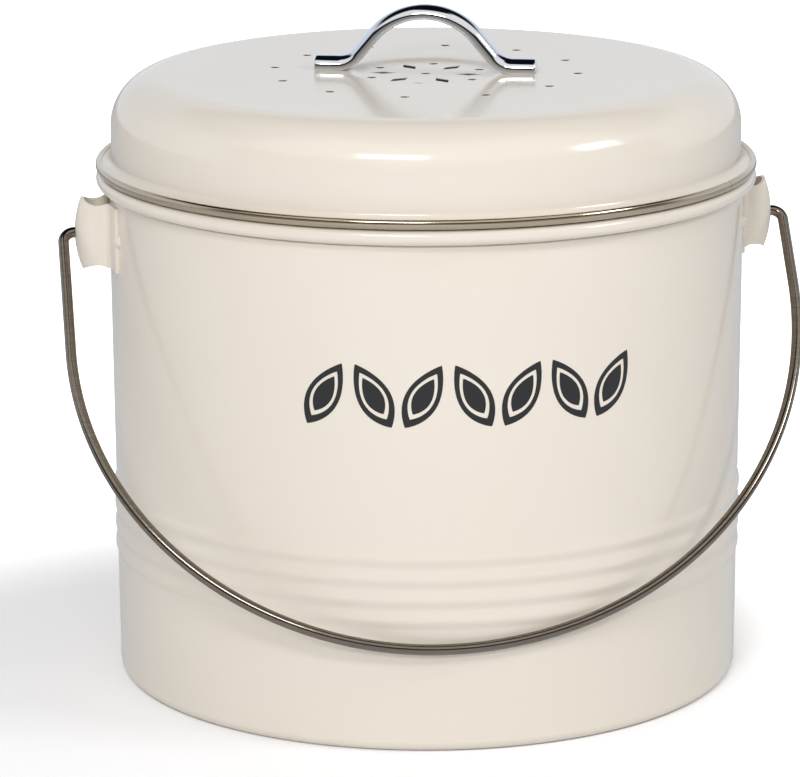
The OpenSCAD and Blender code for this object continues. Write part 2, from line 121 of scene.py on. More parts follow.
def ease(start: Point, end: Point, flat: bool = True, steps: int = 16) -> Outline:
    """Points between two points on a smooth S.

    Args:
        start: where the S begins, which isn't among the points.
        end: where it ends, which isn't either.
        flat: whether the S leaves both ends level rather than upright.
        steps: stretches between the points.

    Returns:
        The points in order.
    """
    found = []
    for i in range(1, steps):
        even = i / steps
        eased = (1 - math.cos(math.pi * even)) / 2
        along, up = (even, eased) if flat else (eased, even)
        found.append((start[0] + (end[0] - start[0]) * along, start[1] + (end[1] - start[1]) * up))
    return found


def sheet_section(path: Sequence[Point], thickness: float) -> Outline:
    """The closed section of a sheet whose middle follows a path.

    Args:
        path: the middle of the sheet.
        thickness: how thick it is.

    Returns:
        The outline, up one face and down the other.
    """
    points = [Vector(p) for p in path]
    lefts = []
    for a, b in zip(points, points[1:]):
        d = (b - a).normalized()
        lefts.append(Vector((-d.y, d.x)))
    near, far = [], []
    for i, point in enumerate(points):
        before, after = lefts[max(i - 1, 0)], lefts[min(i, len(lefts) - 1)]
        reach = (before + after) / (1 + before.dot(after)) * thickness / 2
        near.append(tuple(point + reach))
        far.append(tuple(point - reach))
    return near + far[::-1]


# ---------------------------------------------------------------- nodes


def add_node(tree: bpy.types.NodeTree, kind: str, *values: Any, named: dict | None = None,
             **settings: Any) -> bpy.types.NodeOutputs:
    """Adds a node with its settings, values and links.

    Args:
        tree: the tree that it goes into.
        kind: the node's type name.
        values: what goes into its inputs in order: sockets are linked, None leaves an input be.
        named: the same for inputs found by name or number.
        settings: the node's own properties.

    Returns:
        The node's outputs.
    """
    node = tree.nodes.new(kind)
    for name, value in settings.items():
        setattr(node, name, value)
    for key, value in [*enumerate(values), *(named or {}).items()]:
        if isinstance(value, bpy.types.NodeSocket):
            tree.links.new(value, node.inputs[key])
        elif value is not None:
            node.inputs[key].default_value = value
    return node.outputs


def new_tree(name: str, **sockets: str) -> tuple[bpy.types.NodeTree, bpy.types.NodeOutputs]:
    """Starts a Geometry Nodes tree that takes geometry and named sizes.

    Args:
        name: the tree's name.
        sockets: each further input's name and its socket type, underscores standing for spaces.

    Returns:
        The tree and the outputs of its Group Input.
    """
    tree = bpy.data.node_groups.new(name, "GeometryNodeTree")
    tree.interface.new_socket("Geometry", in_out="INPUT", socket_type="NodeSocketGeometry")
    for socket, kind in sockets.items():
        tree.interface.new_socket(socket.replace("_", " "), in_out="INPUT", socket_type=kind)
    tree.interface.new_socket("Geometry", in_out="OUTPUT", socket_type="NodeSocketGeometry")
    return tree, add_node(tree, "NodeGroupInput")


def close_tree(tree: bpy.types.NodeTree, geometry: bpy.types.NodeSocket,
               material: bpy.types.NodeSocket) -> bpy.types.NodeTree:
    """Ends a tree in plain geometry with its material.

    Args:
        tree: the tree to end.
        geometry: what it has made.
        material: the material's input.

    Returns:
        The same tree.
    """
    real = add_node(tree, "GeometryNodeRealizeInstances", geometry)[0]
    dressed = add_node(tree, "GeometryNodeSetMaterial", real, named={"Material": material})[0]
    add_node(tree, "NodeGroupOutput", dressed)
    return tree


def turned_places(tree: bpy.types.NodeTree, take: bpy.types.NodeOutputs) -> tuple:
    """Points spaced evenly round the Z axis, each with the turn that faces it outwards.

    Args:
        tree: a tree with the inputs Count, Radius and Start.
        take: the outputs of its Group Input.

    Returns:
        The points' socket and the rotation's socket.
    """
    index = add_node(tree, "GeometryNodeInputIndex")[0]
    step = add_node(tree, "ShaderNodeMath", TURN, take["Count"], operation="DIVIDE")[0]
    angle = add_node(tree, "ShaderNodeMath", index, step, take["Start"], operation="MULTIPLY_ADD")[0]
    across = add_node(tree, "ShaderNodeMath", angle, operation="COSINE")[0]
    along = add_node(tree, "ShaderNodeMath", angle, operation="SINE")[0]
    x = add_node(tree, "ShaderNodeMath", across, take["Radius"], operation="MULTIPLY")[0]
    y = add_node(tree, "ShaderNodeMath", along, take["Radius"], operation="MULTIPLY")[0]
    place = add_node(tree, "ShaderNodeCombineXYZ", x, y)[0]
    points = add_node(tree, "GeometryNodePoints", take["Count"], place)[0]
    turn = add_node(tree, "ShaderNodeCombineXYZ", None, None, angle)[0]
    return points, turn


def revolve_tree() -> bpy.types.NodeTree:
    """Turns an outline in the XZ plane round the Z axis."""
    tree, take = new_tree("revolve", Segments="NodeSocketInt", Weld="NodeSocketFloat",
                          Material="NodeSocketMaterial")
    rows = add_node(tree, "GeometryNodeAttributeDomainSize", take["Geometry"], component="MESH")[0]
    columns = add_node(tree, "ShaderNodeMath", take["Segments"], 1.0, operation="ADD")[0]
    grid = add_node(tree, "GeometryNodeMeshGrid", 1.0, 1.0, columns, rows)[0]
    index = add_node(tree, "GeometryNodeInputIndex")[0]
    row = add_node(tree, "ShaderNodeMath", index, rows, operation="MODULO")[0]
    share = add_node(tree, "ShaderNodeMath", index, rows, operation="DIVIDE")[0]
    column = add_node(tree, "ShaderNodeMath", share, operation="FLOOR")[0]
    step = add_node(tree, "ShaderNodeMath", TURN, take["Segments"], operation="DIVIDE")[0]
    angle = add_node(tree, "ShaderNodeMath", column, step, operation="MULTIPLY")[0]
    place = add_node(tree, "GeometryNodeInputPosition")[0]
    drawn = add_node(tree, "GeometryNodeSampleIndex", data_type="FLOAT_VECTOR", domain="POINT", named={
        "Geometry": take["Geometry"], "Value": place, "Index": row})[0]
    turned = add_node(tree, "ShaderNodeVectorRotate", drawn, rotation_type="Z_AXIS",
                      named={"Angle": angle})[0]
    formed = add_node(tree, "GeometryNodeSetPosition", grid, named={"Position": turned})[0]
    welded = add_node(tree, "GeometryNodeMergeByDistance", formed, named={"Distance": take["Weld"]})[0]
    return close_tree(tree, welded, take["Material"])


def punch_tree() -> bpy.types.NodeTree:
    """Cuts openings spaced evenly round the Z axis with copies of a punch."""
    tree, take = new_tree("punch", Punch="NodeSocketObject", Count="NodeSocketInt",
                          Radius="NodeSocketFloat", Start="NodeSocketFloat",
                          Material="NodeSocketMaterial")
    points, turn = turned_places(tree, take)
    punch = add_node(tree, "GeometryNodeObjectInfo", take["Punch"])["Geometry"]
    copies = add_node(tree, "GeometryNodeInstanceOnPoints", points,
                      named={"Instance": punch, "Rotation": turn})[0]
    cutters = add_node(tree, "GeometryNodeRealizeInstances", copies)[0]
    cut = add_node(tree, "GeometryNodeMeshBoolean", take["Geometry"], cutters,
                   operation="DIFFERENCE", solver="EXACT")[0]
    return close_tree(tree, cut, take["Material"])


def spread_tree() -> bpy.types.NodeTree:
    """Repeats a small part evenly round the Z axis."""
    tree, take = new_tree("spread", Count="NodeSocketInt", Radius="NodeSocketFloat",
                          Start="NodeSocketFloat", Material="NodeSocketMaterial")
    points, turn = turned_places(tree, take)
    copies = add_node(tree, "GeometryNodeInstanceOnPoints", points,
                      named={"Instance": take["Geometry"], "Rotation": turn})[0]
    return close_tree(tree, copies, take["Material"])


def wire_tree() -> bpy.types.NodeTree:
    """Draws a round wire along a line of points, as thick at each as its thickness attribute says."""
    tree, take = new_tree("wire", Sides="NodeSocketInt", Material="NodeSocketMaterial")
    line = add_node(tree, "GeometryNodeMeshToCurve", take["Geometry"])[0]
    ring = add_node(tree, "GeometryNodeCurvePrimitiveCircle", take["Sides"], mode="RADIUS",
                    named={"Radius": 1.0})[0]
    thickness = add_node(tree, "GeometryNodeInputNamedAttribute", WIRE_THICKNESS, data_type="FLOAT")[0]
    tube = add_node(tree, "GeometryNodeCurveToMesh", line, ring,
                    named={"Scale": thickness, "Fill Caps": True})[0]
    return close_tree(tree, tube, take["Material"])


def from_middle(tree: bpy.types.NodeTree, index: bpy.types.NodeSocket,
                count: bpy.types.NodeSocket) -> bpy.types.NodeSocket:
    """How many places an item of a row is from the row's middle."""
    middle = add_node(tree, "ShaderNodeMath", count, 1.0, operation="SUBTRACT")[0]
    middle = add_node(tree, "ShaderNodeMath", middle, 2.0, operation="DIVIDE")[0]
    return add_node(tree, "ShaderNodeMath", index, middle, operation="SUBTRACT")[0]


def alternating(tree: bpy.types.NodeTree, index: bpy.types.NodeSocket) -> bpy.types.NodeSocket:
    """1 for an even item and -1 for an odd one."""
    odd = add_node(tree, "ShaderNodeMath", index, 2.0, operation="MODULO")[0]
    return add_node(tree, "ShaderNodeMath", odd, -2.0, 1.0, operation="MULTIPLY_ADD")[0]


def grille_tree() -> bpy.types.NodeTree:
    """Cuts rows of openings into a disc, as long as the disc is wide at each row, beside a middle bar."""
    tree, take = new_tree("grille", Rows="NodeSocketInt", Pitch="NodeSocketFloat", Gap="NodeSocketFloat",
                          Bar="NodeSocketFloat", Reach="NodeSocketFloat", Height="NodeSocketFloat",
                          Material="NodeSocketMaterial")
    index = add_node(tree, "GeometryNodeInputIndex")[0]
    row = add_node(tree, "ShaderNodeMath", index, 2.0, operation="DIVIDE")[0]
    row = add_node(tree, "ShaderNodeMath", row, operation="FLOOR")[0]
    y = add_node(tree, "ShaderNodeMath", from_middle(tree, row, take["Rows"]), take["Pitch"],
                 operation="MULTIPLY")[0]
    far_y = add_node(tree, "ShaderNodeMath", y, operation="ABSOLUTE")[0]
    far_y = add_node(tree, "ShaderNodeMath", take["Gap"], 0.5, far_y, operation="MULTIPLY_ADD")[0]
    squared = add_node(tree, "ShaderNodeMath", far_y, far_y, operation="MULTIPLY")[0]
    reach = add_node(tree, "ShaderNodeMath", take["Reach"], take["Reach"], operation="MULTIPLY")[0]
    left = add_node(tree, "ShaderNodeMath", reach, squared, operation="SUBTRACT")[0]
    end = add_node(tree, "ShaderNodeMath", left, operation="SQRT")[0]
    length = add_node(tree, "ShaderNodeMath", end, take["Bar"], operation="SUBTRACT")[0]
    centre = add_node(tree, "ShaderNodeMath", length, 0.5, take["Bar"], operation="MULTIPLY_ADD")[0]
    x = add_node(tree, "ShaderNodeMath", centre, alternating(tree, index), operation="MULTIPLY")[0]
    place = add_node(tree, "ShaderNodeCombineXYZ", x, y, take["Height"])[0]
    count = add_node(tree, "ShaderNodeMath", take["Rows"], 2.0, operation="MULTIPLY")[0]
    points = add_node(tree, "GeometryNodePoints", count, place)[0]
    size = add_node(tree, "ShaderNodeCombineXYZ", length, take["Gap"], PUNCH_DEPTH)[0]
    cube = add_node(tree, "GeometryNodeMeshCube", (1.0, 1.0, 1.0))[0]
    copies = add_node(tree, "GeometryNodeInstanceOnPoints", points,
                      named={"Instance": cube, "Scale": size})[0]
    cutters = add_node(tree, "GeometryNodeRealizeInstances", copies)[0]
    cut = add_node(tree, "GeometryNodeMeshBoolean", take["Geometry"], cutters,
                   operation="DIFFERENCE", solver="EXACT")[0]
    return close_tree(tree, cut, take["Material"])


def garland_tree() -> bpy.types.NodeTree:
    """Lays a row of flat leaves side by side, leaning to and fro, and wraps it round a tapered wall.

    A leaf is drawn in the XZ plane, with its thickness along -Y from the wall's surface.
    """
    tree, take = new_tree("garland", Count="NodeSocketInt", Pitch="NodeSocketFloat", Lean="NodeSocketFloat",
                          Height="NodeSocketFloat", Wall_Radius="NodeSocketFloat",
                          Wall_Slope="NodeSocketFloat", Material="NodeSocketMaterial")
    index = add_node(tree, "GeometryNodeInputIndex")[0]
    x = add_node(tree, "ShaderNodeMath", from_middle(tree, index, take["Count"]), take["Pitch"],
                 operation="MULTIPLY")[0]
    place = add_node(tree, "ShaderNodeCombineXYZ", x, None, take["Height"])[0]
    points = add_node(tree, "GeometryNodePoints", take["Count"], place)[0]
    lean = add_node(tree, "ShaderNodeMath", alternating(tree, index), take["Lean"],
                    operation="MULTIPLY")[0]
    turn = add_node(tree, "ShaderNodeCombineXYZ", None, lean)[0]
    copies = add_node(tree, "GeometryNodeInstanceOnPoints", points,
                      named={"Instance": take["Geometry"], "Rotation": turn})[0]
    row = add_node(tree, "GeometryNodeRealizeInstances", copies)[0]
    flat = add_node(tree, "ShaderNodeSeparateXYZ", add_node(tree, "GeometryNodeInputPosition")[0])
    wall = add_node(tree, "ShaderNodeMath", flat["Z"], take["Wall Slope"], take["Wall Radius"],
                    operation="MULTIPLY_ADD")[0]
    angle = add_node(tree, "ShaderNodeMath", flat["X"], wall, operation="DIVIDE")[0]
    radius = add_node(tree, "ShaderNodeMath", wall, flat["Y"], operation="SUBTRACT")[0]
    out = add_node(tree, "ShaderNodeMath", radius, -1.0, operation="MULTIPLY")[0]
    before = add_node(tree, "ShaderNodeCombineXYZ", None, out, flat["Z"])[0]
    wrapped = add_node(tree, "ShaderNodeVectorRotate", before, rotation_type="Z_AXIS",
                       named={"Angle": angle})[0]
    formed = add_node(tree, "GeometryNodeSetPosition", row, named={"Position": wrapped})[0]
    return close_tree(tree, formed, take["Material"])


class Workshop:
    """Makes plain meshes with the shared Geometry Nodes trees."""

    def __init__(self) -> None:
        """Builds each tree once."""
        self.revolving = revolve_tree()
        self.punching = punch_tree()
        self.spreading = spread_tree()
        self.wiring = wire_tree()
        self.grilling = grille_tree()
        self.garlanding = garland_tree()

    def run(self, tree: bpy.types.NodeTree, mesh: Mesh, **inputs: Any) -> Mesh:
        """Runs a tree on a mesh.

        Args:
            tree: the tree.
            mesh: what it starts from, which is used up.
            inputs: the tree's inputs by name, underscores standing for spaces.

        Returns:
            The result as a plain mesh.
        """
        holder = bpy.data.objects.new(tree.name, mesh)
        bpy.context.scene.collection.objects.link(holder)
        modifier = holder.modifiers.new(tree.name, "NODES")
        modifier.node_group = tree
        identifiers = {s.name: s.identifier for s in tree.interface.items_tree if s.in_out == "INPUT"}
        for name, value in inputs.items():
            modifier[identifiers[name.replace("_", " ")]] = value
        evaluated = holder.evaluated_get(bpy.context.evaluated_depsgraph_get())
        result = bpy.data.meshes.new_from_object(evaluated)
        bpy.data.objects.remove(holder)
        bpy.data.meshes.remove(mesh)
        return result

    def revolve(self, outline: Iterable[Point], material: bpy.types.Material,
                segments: int = SEGMENTS) -> Mesh:
        """Turns a closed outline, in millimetres, round the Z axis.

        Args:
            outline: radius and height of each point.
            material: the finish.
            segments: how many facets go round.

        Returns:
            The closed mesh.
        """
        points = [(x * MM, 0, z * MM) for x, z in outline]
        points.append(points[0])
        mesh = bpy.data.meshes.new("outline")
        mesh.from_pydata(points, [(i, i + 1) for i in range(len(points) - 1)], [])
        return outward(self.run(self.revolving, mesh, Segments=segments, Weld=WELD, Material=material))

    def punch(self, mesh: Mesh, cutter: Mesh, material: bpy.types.Material, count: int = 1,
              radius: float = 0, start: float = 0) -> Mesh:
        """Cuts openings round the Z axis.

        Args:
            mesh: what is cut.
            cutter: the punch, drawn at the axis.
            material: the finish of the cut mesh.
            count: how many openings there are.
            radius: how far each is from the axis, millimetres.
            start: the first one's direction, degrees.

        Returns:
            The cut mesh.
        """
        punch = bpy.data.objects.new("punch", cutter)
        bpy.context.scene.collection.objects.link(punch)
        cut = self.run(self.punching, mesh, Punch=punch, Count=count, Radius=radius * MM,
                       Start=math.radians(start), Material=material)
        bpy.data.objects.remove(punch)
        return cut

    def spread(self, mesh: Mesh, material: bpy.types.Material, count: int, radius: float,
               start: float) -> Mesh:
        """Repeats a small mesh round the Z axis.

        Args:
            mesh: the mesh, drawn at the axis.
            material: its finish.
            count: how many copies there are.
            radius: how far each is from the axis, millimetres.
            start: the first one's direction, degrees.

        Returns:
            All copies as one mesh.
        """
        return self.run(self.spreading, mesh, Count=count, Radius=radius * MM,
                        Start=math.radians(start), Material=material)

    def wire(self, points: Sequence[Vector], thickness: Sequence[float],
             material: bpy.types.Material, sides: int = 32) -> Mesh:
        """Draws a round wire.

        Args:
            points: the middle of the wire, in millimetres.
            thickness: the wire's radius at each point, in millimetres.
            material: the finish.
            sides: facets round the wire.

        Returns:
            The closed mesh.
        """
        mesh = bpy.data.meshes.new("wire line")
        mesh.from_pydata([p * MM for p in points], [(i, i + 1) for i in range(len(points) - 1)], [])
        radii = mesh.attributes.new(WIRE_THICKNESS, "FLOAT", "POINT")
        radii.data.foreach_set("value", [t * MM for t in thickness])
        return outward(self.run(self.wiring, mesh, Sides=sides, Material=material))


# ---------------------------------------------------------------- meshes


def outward(mesh: Mesh) -> Mesh:
    """Merges a mesh's doubles and points its faces outwards.

    Args:
        mesh: a mesh without open edges, which is changed in place.

    Returns:
        The same mesh.
    """
    work = bmesh.new()
    work.from_mesh(mesh)
    bmesh.ops.remove_doubles(work, verts=work.verts, dist=WELD)
    bmesh.ops.recalc_face_normals(work, faces=work.faces)
    work.to_mesh(mesh)
    work.free()
    return mesh


def joined(meshes: Sequence[Mesh]) -> Mesh:
    """Puts several meshes of one material together.

    Args:
        meshes: the meshes, of which the first takes the others in.

    Returns:
        The first mesh.
    """
    work = bmesh.new()
    for mesh in meshes:
        work.from_mesh(mesh)
    work.to_mesh(meshes[0])
    work.free()
    return meshes[0]


def prism(outline: Sequence[Point], low: float, high: float) -> Mesh:
    """A straight block from an outline in the XY plane.

    Args:
        outline: its corners, in millimetres, counter-clockwise.
        low: the height of its underside, millimetres.
        high: the height of its top, millimetres.

    Returns:
        The closed mesh.
    """
    n = len(outline)
    points = [(x * MM, y * MM, z * MM) for z in (low, high) for x, y in outline]
    sides = [(i, (i + 1) % n, n + (i + 1) % n, n + i) for i in range(n)]
    mesh = bpy.data.meshes.new("block")
    mesh.from_pydata(points, [], [tuple(range(n - 1, -1, -1)), tuple(range(n, 2 * n)), *sides])
    return mesh


def round_punch(diameter: float, low: float, high: float, sides: int = 40) -> Mesh:
    """A round punch on the Z axis."""
    return prism(circle(diameter, sides), low, high)


def bar(start: float, end: float, width: float, low: float, high: float) -> Mesh:
    """A square-edged bar that lies along the X axis, in millimetres."""
    half = width / 2
    return prism([(start, -half), (end, -half), (end, half), (start, half)], low, high)


def grid_mesh(rows: Sequence[Sequence[Vector]], closed: bool = False) -> Mesh:
    """A skin through rows of points.

    Args:
        rows: equally long rows, in millimetres.
        closed: whether each row is a ring.

    Returns:
        The mesh, with open ends.
    """
    n = len(rows[0])
    around = n if closed else n - 1
    faces = [(i * n + j, i * n + (j + 1) % n, (i + 1) * n + (j + 1) % n, (i + 1) * n + j)
             for i in range(len(rows) - 1) for j in range(around)]
    mesh = bpy.data.meshes.new("skin")
    mesh.from_pydata([p * MM for row in rows for p in row], [], faces)
    return mesh


def capped(mesh: Mesh, around: int, rows: int) -> Mesh:
    """Closes both ends of a skin through rings.

    Args:
        mesh: the skin.
        around: points in a ring.
        rows: how many rings it has.

    Returns:
        The closed mesh.
    """
    work = bmesh.new()
    work.from_mesh(mesh)
    work.verts.ensure_lookup_table()
    for first in (0, (rows - 1) * around):
        work.faces.new([work.verts[first + i] for i in range(around)])
    work.to_mesh(mesh)
    work.free()
    return outward(mesh)


def modified(mesh: Mesh, kind: str, **settings: Any) -> Mesh:
    """Applies one of Blender's modifiers to a mesh.

    Args:
        mesh: what it works on, which is used up.
        kind: the modifier's type name.
        settings: its properties.

    Returns:
        The changed mesh.
    """
    holder = bpy.data.objects.new(kind, mesh)
    bpy.context.scene.collection.objects.link(holder)
    modifier = holder.modifiers.new(kind, kind)
    for name, value in settings.items():
        setattr(modifier, name, value)
    evaluated = holder.evaluated_get(bpy.context.evaluated_depsgraph_get())
    result = bpy.data.meshes.new_from_object(evaluated)
    bpy.data.objects.remove(holder)
    bpy.data.meshes.remove(mesh)
    return result


def softened(mesh: Mesh, width: float, segments: int = 2, crease: float = 60) -> Mesh:
    """Rounds the edges that are sharper than some degrees by a width in millimetres."""
    return modified(mesh, "BEVEL", width=width * MM, segments=segments, limit_method="ANGLE",
                    angle_limit=math.radians(crease))


def seat(name: str, mesh: Mesh, material: bpy.types.Material, body: Body,
         nodes: Sequence[str] = (), crease: float = 35) -> bpy.types.Object:
    """Finishes a piece and seats it on its body.

    Args:
        name: the piece's name.
        mesh: its mesh, in place.
        material: its finish.
        body: the body that it moves with.
        nodes: the solids that it stands for.
        crease: edges sharper than this many degrees stay sharp.

    Returns:
        The piece.
    """
    mesh.name = name
    mesh.materials.clear()
    mesh.materials.append(material)
    mesh.shade_smooth()
    mesh.set_sharp_from_angle(angle=math.radians(crease))
    piece = bpy.data.objects.new(name, mesh)
    bpy.context.scene.collection.objects.link(piece)
    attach(piece, body.value)
    if nodes:
        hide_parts(*nodes)
    log.info("%s: %d faces on %s", name, len(mesh.polygons), body.value)
    return piece


def flatten_shading(piece: bpy.types.Object) -> None:
    """Weights a piece's normals by the size of its faces, so that its flats shade as flats.

    Args:
        piece: a seated piece, which gets a new mesh.
    """
    for polygon in piece.data.polygons:
        polygon.use_smooth = True
    modifier = piece.modifiers.new("weighted", "WEIGHTED_NORMAL")
    modifier.keep_sharp = True
    modifier.weight = 100
    evaluated = piece.evaluated_get(bpy.context.evaluated_depsgraph_get())
    plain = bpy.data.meshes.new_from_object(evaluated)
    piece.modifiers.clear()
    piece.data = plain


def box_mm(node: str) -> tuple[Vector, Vector]:
    """The lowest and highest corner of a solid in the frame, in millimetres."""
    low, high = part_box(node)
    return low / MM, high / MM


def pivot_height() -> float:
    """How high the carrying wire's pivots are, in millimetres."""
    return next(j for j in frame["joints"] if j["name"] == "bail_swing")["pos_m"][2] / MM


# ---------------------------------------------------------------- finishes


def linear(colour: str) -> tuple[float, float, float, float]:
    """Turns an sRGB hex colour into linear red, green, blue and full alpha."""
    shares = [int(colour[i:i + 2], 16) / 255 for i in (1, 3, 5)]
    return (*(s / 12.92 if s <= 0.04045 else ((s + 0.055) / 1.055) ** 2.4 for s in shares), 1.0)


def start_material(name: str) -> tuple[bpy.types.Material, bpy.types.NodeTree, bpy.types.Node]:
    """A new material with its tree and its shader node."""
    material = bpy.data.materials.new(name)
    material.use_nodes = True
    return material, material.node_tree, material.node_tree.nodes["Principled BSDF"]


def dress(tree: bpy.types.NodeTree, shader: bpy.types.Node, tones: tuple, gloss: tuple | None = None,
          relief: tuple | None = None) -> None:
    """Drives a shader with patterns.

    Args:
        tree: the material's tree.
        shader: its shader node.
        tones: a pattern, and the hex colours where it is faint and where it is strong.
        gloss: a pattern, and the roughness where it is faint and where it is strong.
        relief: a pattern, the share of it that shows, and its depth in millimetres.
    """
    pattern, colour, shade = tones
    tint = add_node(tree, "ShaderNodeMix", data_type="RGBA", named={
        0: pattern, 6: linear(colour), 7: linear(shade)})[2]
    tree.links.new(tint, shader.inputs["Base Color"])
    if gloss:
        pattern, glossiest, dullest = gloss
        rough = add_node(tree, "ShaderNodeMapRange", pattern, named={
            "From Min": 0.3, "From Max": 0.7, "To Min": glossiest, "To Max": dullest})[0]
        tree.links.new(rough, shader.inputs["Roughness"])
    if relief:
        pattern, share, depth_mm = relief
        bump = add_node(tree, "ShaderNodeBump", named={
            "Strength": share, "Distance": depth_mm * MM, "Height": pattern})[0]
        tree.links.new(bump, shader.inputs["Normal"])


@dataclass(frozen=True)
class PowderCoat:
    """Cream polyester powder, sprayed on steel and baked.

    It flows as it bakes, so the eye gets a clear but slightly soft reflection, wavy with orange peel,
    over one even colour that is a shade warmer where the film is thick.
    """

    name: str
    colour: str = "#e9e1d5"
    shade: str = "#e6ddd0"
    roughness: float = 0.14
    spread: float = 0.02
    mottle_mm: float = 45
    peel_mm: float = 2.2
    peel_depth_mm: float = 0.004
    peel_share: float = 0.35

    def material(self) -> bpy.types.Material:
        """Builds the coating."""
        material, tree, shader = start_material(self.name)
        place = add_node(tree, "ShaderNodeTexCoord")["Object"]
        mottle = add_node(tree, "ShaderNodeTexNoise", place,
                          named={"Scale": 1 / (self.mottle_mm * MM), "Detail": 2.0})[0]
        peel = add_node(tree, "ShaderNodeTexNoise", place,
                        named={"Scale": 1 / (self.peel_mm * MM), "Detail": 1.5, "Roughness": 0.4})[0]
        dress(tree, shader, (mottle, self.colour, self.shade),
              (mottle, self.roughness - self.spread, self.roughness + self.spread),
              (peel, self.peel_share, self.peel_depth_mm))
        return material


@dataclass(frozen=True)
class PolishedMetal:
    """Steel, rolled or drawn and then polished or plated.

    The eye gets a dark mirror of the room with bright bands, a little smudged by handling, and faint
    lines along the metal's length. Real drawing lines are finer, and are drawn this coarse to show.
    """

    name: str
    colour: str
    shade: str
    roughness: float
    line_mm: float = 0.25
    line_stretch: float = 60
    line_depth_mm: float = 0.0015
    line_share: float = 0.3
    smudge_mm: float = 12

    def material(self) -> bpy.types.Material:
        """Builds the metal."""
        material, tree, shader = start_material(self.name)
        place = add_node(tree, "ShaderNodeTexCoord")["Object"]
        fine, long = 1 / (self.line_mm * MM), 1 / (self.line_mm * self.line_stretch * MM)
        drawn = add_node(tree, "ShaderNodeMapping", place, named={"Scale": (long, long, fine)})[0]
        lines = add_node(tree, "ShaderNodeTexNoise", drawn, named={"Scale": 1.0, "Detail": 2.0})[0]
        smudge = add_node(tree, "ShaderNodeTexNoise", place, named={"Scale": 1 / (self.smudge_mm * MM)})[0]
        dress(tree, shader, (lines, self.colour, self.shade),
              (smudge, self.roughness * 0.8, self.roughness * 1.25),
              (lines, self.line_share, self.line_depth_mm))
        shader.inputs["Metallic"].default_value = 1.0
        return material


@dataclass(frozen=True)
class MouldedPlastic:
    """Polypropylene, injection moulded in a tool with a light spark-eroded grain.

    The eye gets a soft waxy sheen without clear reflections, broken up by a fine even grain. The grain
    is drawn a little coarser than the real one, which is too fine to show.
    """

    name: str
    colour: str
    shade: str
    roughness: float = 0.5
    spread: float = 0.05
    cloud_mm: float = 25
    grain_mm: float = 0.6
    grain_depth_mm: float = 0.03
    grain_share: float = 0.4
    ior: float = 1.49

    def material(self) -> bpy.types.Material:
        """Builds the plastic."""
        material, tree, shader = start_material(self.name)
        place = add_node(tree, "ShaderNodeTexCoord")["Object"]
        grain = add_node(tree, "ShaderNodeTexNoise", place,
                         named={"Scale": 1 / (self.grain_mm * MM), "Detail": 3.0})[0]
        cloud = add_node(tree, "ShaderNodeTexNoise", place, named={"Scale": 1 / (self.cloud_mm * MM)})[0]
        dress(tree, shader, (cloud, self.colour, self.shade),
              (cloud, self.roughness - self.spread, self.roughness + self.spread),
              (grain, self.grain_share, self.grain_depth_mm))
        shader.inputs["IOR"].default_value = self.ior
        return material


@dataclass(frozen=True)
class CarbonFelt:
    """Needled polyester felt, filled with carbon powder.

    The eye gets a matt black that never shines, with loose grey fibres that lie mostly one way and
    a pale bloom along the edge. The fibres are drawn thicker than real ones, to show.
    """

    name: str = "carbon_felt"
    colour: str = "#202022"
    shade: str = "#3a3a3c"
    fibre_mm: float = 0.5
    fibre_lie: float = 0.35
    fibre_depth_mm: float = 0.25
    fibre_share: float = 0.8
    roughness: float = 0.95
    bloom: float = 0.25

    def material(self) -> bpy.types.Material:
        """Builds the felt."""
        material, tree, shader = start_material(self.name)
        place = add_node(tree, "ShaderNodeTexCoord")["Object"]
        drawn = add_node(tree, "ShaderNodeMapping", place, named={"Scale": (1.0, self.fibre_lie, 1.0)})[0]
        fibres = add_node(tree, "ShaderNodeTexNoise", drawn, named={
            "Scale": 1 / (self.fibre_mm * MM), "Detail": 6.0, "Roughness": 0.7, "Distortion": 1.5})[0]
        dress(tree, shader, (fibres, self.colour, self.shade),
              relief=(fibres, self.fibre_share, self.fibre_depth_mm))
        shader.inputs["Roughness"].default_value = self.roughness
        shader.inputs["Sheen Weight"].default_value = self.bloom
        return material


@dataclass(frozen=True)
class PrintedInk:
    """Epoxy ink, screen-printed on the coating and cured.

    The eye gets a crisp flat black that is duller than the coating round it, a touch glossier where
    the screen left more ink.
    """

    name: str = "printed_ink"
    colour: str = "#191817"
    shade: str = "#211f1e"
    film_mm: float = 1.5
    glossiest: float = 0.336
    dullest: float = 0.384

    def material(self) -> bpy.types.Material:
        """Builds the ink."""
        material, tree, shader = start_material(self.name)
        place = add_node(tree, "ShaderNodeTexCoord")["Object"]
        film = add_node(tree, "ShaderNodeTexNoise", place, named={"Scale": 1 / (self.film_mm * MM)})[0]
        dress(tree, shader, (film, self.colour, self.shade), (film, self.glossiest, self.dullest))
        return material


# ---------------------------------------------------------------- the caddy's body


